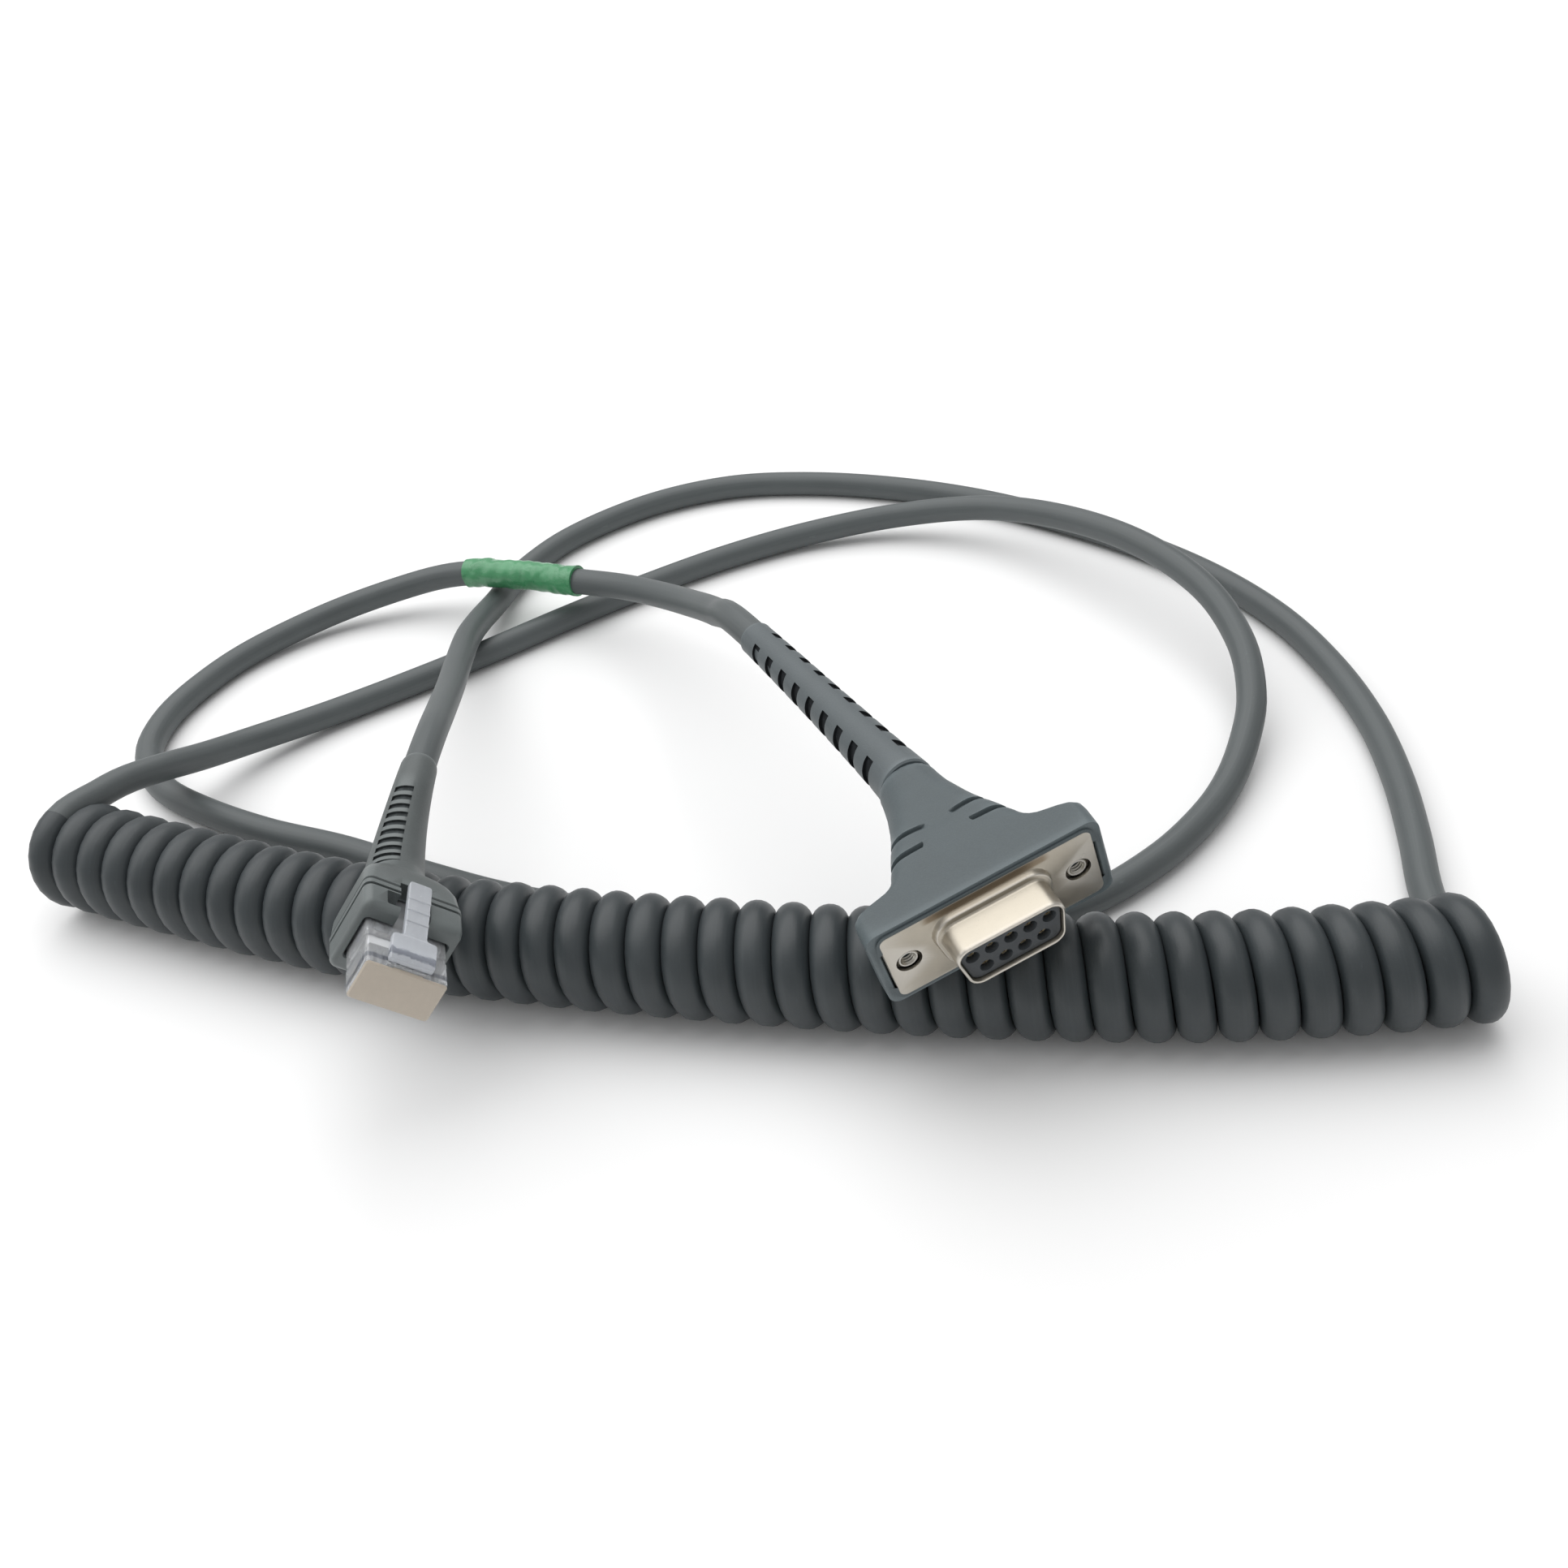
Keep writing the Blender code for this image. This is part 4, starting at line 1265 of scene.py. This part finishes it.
        outer = [(start, section.circle(2.72)), (start + 0.12 * MM, section.circle(2.88)),
                 (start + 0.5 * MM, section.circle(radius(start)))]
        slotted = []
        for distance, cut_here in rows:
            if cut_here:
                slotted.append(len(outer))
            outer.append((distance, section.circle(radius(distance), 1.04)))
        outer += [(stop - 1.2 * MM, section.circle(radius(stop), 1.04)),
                  (stop - 0.25 * MM, section.circle(radius(stop) + 0.05, 1.04)),
                  (stop, section.circle(radius(stop) - 0.2, 1.04))]
        inner = [(stop - length * step / 16, section.circle(2.56)) for step in range(17)]
        rings = strung(self.line, outer + inner, self.place, 1)
        skin = Skin(rings[0]).through(rings[1:])
        mesh = skin.join()
        quarter = section.quarter
        patches = [[skin.cell(row, step) for step in steps] for row in slotted
                   for steps in (range(-7, 9), range(2 * quarter - 9, 2 * quarter + 7))]
        # Material 1 gives the slots' floors and walls a near-black painted shade.
        for patch in patches:
            sink(mesh, patch, 0.5 * MM, 0.6 * MM, 1)
        bmesh.ops.transform(mesh, matrix=self.place.inverted(), verts=mesh.verts)
        relief = finished("hood_strain_relief", mesh, [RELIEF_VINYL.make(), SLOT_PAINTED_SHADE.make()], self.place, 38)
        return hand_over(relief, Body.CABLE, Slot.PVC, "host_strain_relief")

    def shell(self) -> bpy.types.Object:
        """Presses the front shell: a flange, a stepped collar and the D with its rolled rim.

        Returns:
            The piece.
        """
        flange = rectangle(self.flange_width, self.flange_height, 1.2)

        def d_ring(out: float, y: float) -> Ring:
            """The D's outline, larger by `out` all round, at a Y."""
            return flat(d_shape(self.shell_width + 2 * out, self.shell_height + 2 * out,
                                max(0.9, 2.2 + out)), y)

        rings = [flat(flange, -0.5), flat(flange, -0.14),
                 flat(rectangle(self.flange_width - 0.24, self.flange_height - 0.24, 1.1), 0.0),
                 d_ring(1.45, 0.0), d_ring(1.12, 0.1), d_ring(0.98, 0.35), d_ring(0.92, 0.75), d_ring(0.8, 0.98),
                 d_ring(0.5, 1.06), d_ring(0.22, 1.12), d_ring(0.06, 1.3), d_ring(0.0, 1.6), d_ring(0.0, 5.2),
                 d_ring(-0.04, 5.6), d_ring(-0.16, 5.83), d_ring(-0.34, 5.9), d_ring(-0.52, 5.83),
                 d_ring(-0.6, 5.6), d_ring(-0.62, 5.2), d_ring(-0.62, 1.4), d_ring(-0.4, 0.6), d_ring(-0.4, -0.5)]
        mesh = Skin(rings[0]).through(rings[1:]).join()
        holes = merged(rod(1.85, 1.0, -1.5, x, sides=48) for x in (self.screw_x, -self.screw_x))
        mesh = cut(mesh, holes)
        shell = finished("socket_shell", mesh, [SHELL_PLATE.make()], self.place, 30)
        return hand_over(shell, Body.CABLE, Slot.NICKEL, "front_shell")

    def contact_places(self) -> list[tuple[float, float]]:
        """X and Z of the nine contacts: five in the upper row, four in the lower."""
        return ([((2 - column) * self.pitch, self.row) for column in range(5)]
                + [((1.5 - column) * self.pitch, -self.row) for column in range(4)])

    def contact_block(self) -> bpy.types.Object:
        """Moulds the block that holds the sockets, with a lead-in at each.

        Returns:
            The piece.
        """
        def ring(trim: float, y: float) -> Ring:
            """The block's outline, smaller by `trim` all round, at a Y."""
            return flat(d_shape(self.shell_width - 2 * trim, self.shell_height - 2 * trim, 1.5), y)

        rings = [ring(0.7, -2.7), ring(0.7, 5.1), ring(0.72, 5.28), ring(0.9, 5.4)]
        mesh = Skin(rings[0]).through(rings[1:]).cap()
        lead_in = [(1.02, 5.7), (1.0, 5.42), (0.78, 5.0), (0.74, 4.8), (0.74, -3.5)]
        bores = merged(rod(1, 0, 0, x, z, 28, lead_in) for x, z in self.contact_places())
        block = finished("contact_block", cut(mesh, bores), [SOCKET_PLASTIC.make()], self.place, 30)
        return hand_over(block, Body.CABLE, Slot.BLACK, "front_insulator")

    def insert(self, side: str, x: float) -> bpy.types.Object:
        """Turns a threaded insert: a hexagon behind the flange and a threaded nose in its hole.

        Args:
            side: left or right.
            x: Where it is.

        Returns:
            The piece.
        """
        def ring(radius: float, y: float, six: float = 0.0) -> Ring:
            """A circle, drawn towards a hexagon by `six`."""
            points = []
            for step in range(48):
                angle = math.tau * step / 48
                flat_side = math.cos(math.pi / 6) / math.cos((angle % (math.pi / 3)) - math.pi / 6)
                reach = radius * (1 + six * (flat_side - 1))
                points.append(Vector((x + reach * math.cos(angle), y, reach * math.sin(angle))))
            return points

        rings = [ring(1.5, -1.6), ring(1.5, -0.62), ring(1.42, -0.42), ring(1.3, -0.32), ring(1.12, -0.32),
                 ring(1.02, -0.5)]
        for turn in range(8):
            y = -0.55 - turn * 0.42
            rings += [ring(0.88, y - 0.1), ring(0.88, y - 0.16), ring(1.06, y - 0.3), ring(1.06, y - 0.36)]
        rings += [ring(0.9, -3.95), ring(1.05, -4.0), ring(2.55, -4.0, 1), ring(2.75, -3.85, 1),
                  ring(2.75, -1.75, 1), ring(2.6, -1.6, 1)]
        mesh = Skin(rings[0]).through(rings[1:]).join()
        insert = finished(f"insert_{side}", mesh, [INSERT_PLATE.make()], self.place, 32)
        return hand_over(insert, Body.CABLE, Slot.NICKEL, f"threaded_insert_{side}")

    def build(self) -> list[bpy.types.Object]:
        """Builds the whole plug and dresses what stays of its CAD nodes.

        Returns:
            Its pieces.
        """
        pieces = [self.hood(), self.relief(), self.shell(), self.contact_block(),
                  self.insert("left", self.screw_x), self.insert("right", -self.screw_x)]
        gold, plate = GOLD_PLATE.make(), REAR_PLATE.make()
        dress(gold, *(f"socket_contact_{number}" for number in range(1, 10)))
        dress(plate, "rear_shell", "cable_ferrule")
        dress(REAR_PLASTIC.make(), "rear_insulator")
        return pieces


@dataclass
class MarkerTape:
    """Green tape wound round the host lead."""

    line: list[Vector]
    start: float = 611.0
    length: float = 26.0
    wraps: float = 1.6
    sides: int = 44

    def build(self) -> bpy.types.Object:
        """Winds the tape, with its creases, its spiral step and its lifted edge.

        Returns:
            The piece.
        """
        count = 64
        rows = [(0.0, 2.53)] + [(step / count, None) for step in range(count + 1)]
        rows += [(1.0, 2.53)] + [(1 - step / 12, 2.53) for step in range(1, 12)]
        rings, marks = [], []
        for share, bare in rows:
            pose = upright_frame(self.line, (self.start + share * self.length) * MM)
            ring, mark = [], []
            for step in range(self.sides):
                angle = math.tau * step / self.sides
                radius = bare or self._radius(share, angle)
                ring.append(pose @ Vector((radius * math.cos(angle) * MM, 0, radius * math.sin(angle) * MM)))
                mark.append(Vector((share * self.length, radius * math.cos(angle), radius * math.sin(angle))) * MM)
            rings.append(ring)
            marks.append(mark)
        skin = Skin(rings[0], carries="straight").through(rings[1:])
        for ring, mark in zip(skin.rings, marks):
            for vert, place in zip(ring, mark):
                vert[skin.layer] = place
        tape = finished("tape_wrap", skin.join(), [TAPE_GREEN.make()], Matrix.Identity(4), 50)
        return hand_over(tape, Body.CABLE, Slot.TAPE, "marker_tape")

    def _radius(self, share: float, angle: float) -> float:
        """The tape's outside radius at a place along and round it, in millimetres."""
        spiral = (share * self.wraps - angle / math.tau) % 1.0
        step = 0.16 * spiral
        crease = 0.07 * math.sin(share * 23 + 2.1 * math.sin(angle * 2)) * math.sin(angle * 3 + share * 9)
        crease += 0.05 * math.sin(share * 61 + 3 * math.cos(angle + share * 5))
        pinch = -0.12 * math.exp(-((share - 0.3) / 0.05) ** 2) * (0.5 + 0.5 * math.cos(angle * 2 + 1))
        lift = 0.28 * math.exp(-((share - 1.0) / 0.06) ** 2) * max(0.0, math.cos(angle - 1.9))
        return 2.82 + step + crease + pinch + lift


# --- Modular plug ------------------------------------------------------------------------------------


@dataclass
class ModularPlug:
    """The scanner plug: a clear body with ten blades and a latch, in a moulded boot with a strain relief."""

    place: Matrix
    line: list[Vector]
    body_width: float = 11.68
    body_height: float = 6.6
    body_length: float = 21.0
    blades: int = 10
    blade_pitch: float = 1.02
    block_half: float = 7.3
    block_top: float = 6.3
    block_front: float = -9.0
    block_back: float = -22.0
    jacket_end: float = -12.0
    relief_length: float = 28.0
    rungs: int = 10
    hinge: tuple[float, float, float] = (0.0, -0.9, 4.3)
    tilt: float = 14.0

    def housing(self) -> bpy.types.Object:
        """Moulds the clear body: slits for the blades, a cavity for the wires and the latch's root.

        Returns:
            The piece.
        """
        section = Section(4, 10, 6)
        x, z = self.body_width / 2, self.body_height / 2
        back = -self.body_length
        stations = [(back, 0.25, 0.4), (back + 0.2, 0.0, 0.45), (-6.2, 0.0, 0.45), (-6.0, 0.12, 0.45),
                    (-5.2, 0.12, 0.45), (-5.0, 0.0, 0.45), (-1.0, 0.0, 0.5), (-0.35, 0.06, 0.55),
                    (-0.08, 0.25, 0.6), (0.0, 0.5, 0.6)]
        rings = [flat(section.box(x - trim, z - trim, radius), y) for y, trim, radius in stations]
        mesh = Skin(rings[0]).through(rings[1:]).cap()
        mesh = cut(mesh, merged([self._bar((0.0, -15.1, 0.0), (10.2, 15.0, 5.4), 0.4)]))
        slits = merged(self._bar((place, -2.95, -z + 2.0), (0.62, 4.5, 4.2), 0.1) for place in self.blade_places())
        mesh = cut(mesh, slits)
        mesh = cut(mesh, self._root(), "UNION")
        for face in mesh.faces:
            face.material_index = int(face.calc_center_median().y > -0.5)
        housing = finished("plug_housing", mesh, [PLUG_CLEAR.make(), PLUG_NOSE.make()], self.place, 30)
        return hand_over(housing, Body.CABLE, Slot.CLEAR, "plug_body")

    def _root(self) -> bmesh.types.BMesh:
        """The low ridge across the nose that the latch springs from."""
        ridge = Section(4, 4, 2)
        outline = [Vector((0, y - 0.95, z + 3.25)) for y, z in ridge.box(0.42, 0.42, 0.3)]
        rings = [[point + Vector((x, 0, 0)) for point in outline] for x in (-3.0, -2.9, 2.9, 3.0)]
        return Skin(rings[0]).through(rings[1:]).cap()

    @staticmethod
    def _bar(centre: Sequence[float], size: Sequence[float], rounding: float) -> bmesh.types.BMesh:
        """A box with rounded edges."""
        mesh = bmesh.new()
        place = Matrix.Translation(Vector(centre)) @ Matrix.Diagonal((*size, 1))
        bmesh.ops.create_cube(mesh, size=1, matrix=place)
        return soften(mesh, rounding, 40, 2)

    def blade_places(self) -> list[float]:
        """X of the blades, side by side across the plug."""
        return [(index - (self.blades - 1) / 2) * self.blade_pitch for index in range(self.blades)]

    def latch(self) -> bpy.types.Object:
        """Moulds the latch: a wide shoulder at the nose, then a stepped tab to press.

        Returns:
            The piece.
        """
        section = Section(3, 6, 2)
        stations = [(0.3, 2.85, 0.3), (0.18, 3.1, 0.44), (-0.2, 3.2, 0.5), (-3.5, 3.2, 0.5), (-3.85, 3.15, 0.5),
                    (-4.05, 2.95, 0.47), (-4.15, 2.3, 0.42), (-4.3, 1.8, 0.42), (-4.6, 1.66, 0.42)]
        for y in (-6.6, -8.6, -10.6):
            stations += [(y, 1.65, 0.42), (y - 0.12, 1.65, 0.56), (y - 0.5, 1.65, 0.56), (y - 0.75, 1.65, 0.42)]
        stations += [(-13.3, 1.65, 0.4), (-13.7, 1.6, 0.38), (-13.92, 1.45, 0.3), (-14.0, 1.25, 0.18)]
        rings = [flat(section.box(x, z, min(0.16, z * 0.8), -0.5 if z >= 0.4 else -z), y) for y, x, z in stations]
        mesh = Skin(rings[0]).through(rings[1:]).cap()
        swing = Matrix.Translation(Vector(self.hinge)) @ Matrix.Rotation(math.radians(-self.tilt), 4, "X")
        bmesh.ops.transform(mesh, matrix=swing, verts=mesh.verts)
        latch = finished("latch_lever", mesh, [LATCH_CLEAR.make()], self.place, 32)
        return hand_over(latch, Body.LATCH, Slot.CLEAR, "latch_tab")

    def boot(self) -> bpy.types.Object:
        """Moulds the boot: a block with two ribs round its front, run out into a slotted strain relief.

        Returns:
            The piece.
        """
        section = Section(6, 6, 8)
        x, z = self.block_half, self.block_top
        at_back = (self.jacket_end - self.block_back) * MM
        end = at_back + self.relief_length * MM
        bore = [(end - (end - at_back) * step / 10, section.circle(2.56)) for step in range(11)]
        rings = strung(self.line, bore, self.place, -1)
        front = self.block_front
        inside = [(-21.3, section.circle(2.6)), (-21.25, section.box(6.1, 3.55, 0.6)),
                  (front - 0.3, section.box(6.1, 3.55, 0.6)), (front, section.box(6.3, 3.75, 0.7))]
        outside = [(front, x - 0.55, z - 1.15, 0.8), (front - 0.15, x - 0.3, z - 0.8, 0.9),
                   (front - 0.5, x - 0.1, z - 0.4, 1.1), (front - 1.1, x - 0.05, z - 0.1, 1.2),
                   (-13.2, x - 0.04, z - 0.04, 1.2),
                   (-13.25, x - 0.6, z - 0.6, 1.0), (-13.65, x - 0.6, z - 0.6, 1.0), (-13.7, x, z, 1.2),
                   (-14.5, x, z, 1.2), (-14.55, x - 0.6, z - 0.6, 1.0), (-14.95, x - 0.6, z - 0.6, 1.0),
                   (-15.3, x - 0.15, z - 0.15, 1.2), (-17.8, x - 0.3, z - 0.25, 1.5),
                   (-19.6, x - 0.75, z - 0.55, 2.0), (-20.9, x - 1.4, z - 0.95, 2.6),
                   (-21.7, x - 2.0, z - 1.3, 3.2)]
        plug = [flat(outline, y) for y, outline in inside]
        plug += [flat(section.box(px, pz, radius), y) for y, px, pz, radius in outside]
        rings += [[self.place @ point for point in ring] for ring in plug]
        sleeve, slotted = self._sleeve(section, at_back, end, len(rings))
        rings += strung(self.line, sleeve, self.place, -1)
        skin = Skin(rings[0]).through(rings[1:])
        mesh = skin.join()
        quarter = section.quarter
        rungs = [[skin.cell(row, step) for step in range(3, 11)] for row in slotted]
        hollow = [skin.cell(row, 2 * quarter + step)
                  for row in range(slotted[1], slotted[-2]) for step in range(-2, 3)]
        # Material 1 gives the rungs' and the hollow's floors and walls a darker painted shade.
        for patch in rungs:
            sink(mesh, patch, 0.4 * MM, 0.15 * MM, 1)
        sink(mesh, hollow, 0.4 * MM, 0.5 * MM, 1)
        bmesh.ops.transform(mesh, matrix=self.place.inverted(), verts=mesh.verts)
        boot = finished("boot_moulding", self._windowed(mesh), [BOOT_VINYL.make(), RUNG_PAINTED_SHADE.make()],
                        self.place, 34)
        return hand_over(boot, Body.CABLE, Slot.PVC, "plug_boot")

    def _sleeve(self, section: Section, start: float, end: float,
                first: int) -> tuple[list[tuple[float, list[tuple[float, float]]]], list[int]]:
        """The strain relief's sections and which of them start a slot.

        Args:
            section: The kind of section.
            start: Where the sleeve starts, along the lead in metres.
            end: Where it ends.
            first: How many rings come before it.

        Returns:
            The stations and the ring numbers.
        """
        def size(distance: float) -> tuple[float, float]:
            """The sleeve's half width and half height at a distance."""
            share = min(1.0, max(0.0, (distance - start) / (end - start)))
            return 4.9 - 3.2 * share + 1.1 * share ** 2, 4.75 - 2.9 * share + 0.95 * share ** 2

        stations, slotted = [], []
        places = [(start + 0.6 * MM, False), *slot_rows(start + 2.2 * MM, end - 7.0 * MM, self.rungs, 1.05 * MM),
                  *((end - back * MM, False) for back in (5.6, 4.2, 2.8, 1.6, 0.8))]
        for distance, cut_here in places:
            wide, tall = size(distance)
            if cut_here:
                slotted.append(first + len(stations))
            stations.append((distance, section.circle(wide, tall / wide)))
        stations += [(end - 0.25 * MM, section.circle(2.74)), (end, section.circle(2.64))]
        return stations, slotted

    def _windowed(self, mesh: bmesh.types.BMesh) -> bmesh.types.BMesh:
        """Cuts the latch's opening in the block's top."""
        z = self.body_height / 2 + 2.5
        opening = merged([self._bar((1.0, self.block_front - 2.5, z), (6.4, 2.9, 4.5), 0.25)])
        slot = merged([self._bar((0, self.block_front - 3.2, z), (4.4, 7.6, 4.5), 0.25)])
        for cutter in (opening, slot):
            mesh = cut(mesh, cutter)
        return mesh

    def build(self) -> list[bpy.types.Object]:
        """Builds the whole plug and dresses what stays of its CAD nodes.

        Returns:
            Its pieces that ride with the cable.
        """
        pieces = [self.housing(), self.boot()]
        self.latch()
        dress(GOLD_PLATE.make(), *(f"blade_contact_{number}" for number in range(1, self.blades + 1)))
        dress(GUIDE_CLEAR.make(), "wire_guide")
        return pieces


def dress_cores() -> None:
    """Gives the five cores at each plug their insulation colours."""
    for number, (name, colour) in enumerate(CORE_COLOURS.items(), 1):
        insulation = HardPlastic(f"core_{name}", colour, 0.42, own=False).make()
        dress(insulation, f"host_core_{number}", f"scanner_core_{number}")


# --- Studio ------------------------------------------------------------------------------------------


@dataclass
class Studio:
    """The camera, soft lights and the bench top."""

    eye: Vector = field(default_factory=lambda: Vector((11.34, -237.0, 174.0)) * MM)
    elevation: float = 38.0
    roll: float = 8.0
    lens: float = 37.64
    bench_size: float = 6.0

    def camera(self) -> None:
        """Makes the camera, looking down along +Y and rolled a little."""
        data = bpy.data.cameras.new("camera")
        data.lens = self.lens
        data.sensor_width = 36.0
        data.clip_start = 0.005
        obj = bpy.data.objects.new("camera", data)
        tilt, roll = math.radians(self.elevation), math.radians(self.roll)
        look = Vector((0, math.cos(tilt), -math.sin(tilt)))
        level = Vector((0, math.sin(tilt), math.cos(tilt)))
        right = Vector((math.cos(roll), 0, 0)) - level * math.sin(roll)
        up = Vector((math.sin(roll), 0, 0)) + level * math.cos(roll)
        obj.matrix_world = Matrix.Translation(self.eye) @ Matrix((right, up, -look)).transposed().to_4x4()
        bpy.context.scene.collection.objects.link(obj)
        bpy.context.scene.camera = obj

    def lamp(self, name: str, place: Sequence[float], aim: Sequence[float], size: float, power: float) -> None:
        """Makes a soft square light.

        Args:
            name: Its name.
            place: Where it hangs.
            aim: What it points at.
            size: Its side.
            power: Its power in watts.
        """
        data = bpy.data.lights.new(name, "AREA")
        data.size = size
        data.energy = power
        obj = bpy.data.objects.new(name, data)
        obj.location = place
        obj.rotation_euler = (Vector(aim) - Vector(place)).to_track_quat("-Z", "Y").to_euler()
        bpy.context.scene.collection.objects.link(obj)

    def lights(self) -> None:
        """Makes a big overhead light behind the object, a weak one in front and a pale surround."""
        self.lamp("overhead", (-0.2, 0.5, 1.25), (0, 0, 0), 1.9, 20.0)
        self.lamp("left_window", (-1.2, 0.1, 0.8), (0, 0, 0.02), 0.8, 2.5)
        world = bpy.data.worlds.new("surround")
        world.use_nodes = True
        sky = world.node_tree.nodes["Background"]
        sky.inputs["Color"].default_value = (1, 1, 1, 1)
        sky.inputs["Strength"].default_value = 0.5
        bpy.context.scene.world = world
        bpy.context.scene.view_settings.view_transform = "Standard"

    def bench(self) -> None:
        """Makes the bench top."""
        mesh = bmesh.new()
        bmesh.ops.create_grid(mesh, x_segments=1, y_segments=1, size=self.bench_size / 2)
        obj = finished("bench_top", mesh, [BenchTop().make()], Matrix.Identity(4))

    def build(self) -> None:
        """Builds all of it."""
        self.camera()
        self.lights()
        self.bench()


def main() -> None:
    """Builds the looks of the whole cable."""
    logging.basicConfig(level=logging.INFO, format="%(name)s: %(message)s")
    studio = Studio()
    studio.build()
    cords = CordSet()
    cords.lay()
    pieces = cords.build()
    host = NineWayPlug(HOST_PLUG.place, cords.host).build()
    scanner = ModularPlug(SCANNER_PLUG.place, cords.scanner).build()
    tape = MarkerTape(cords.host).build()
    dress_cores()
    cords.declare()


if __name__ == "__main__":
    main()
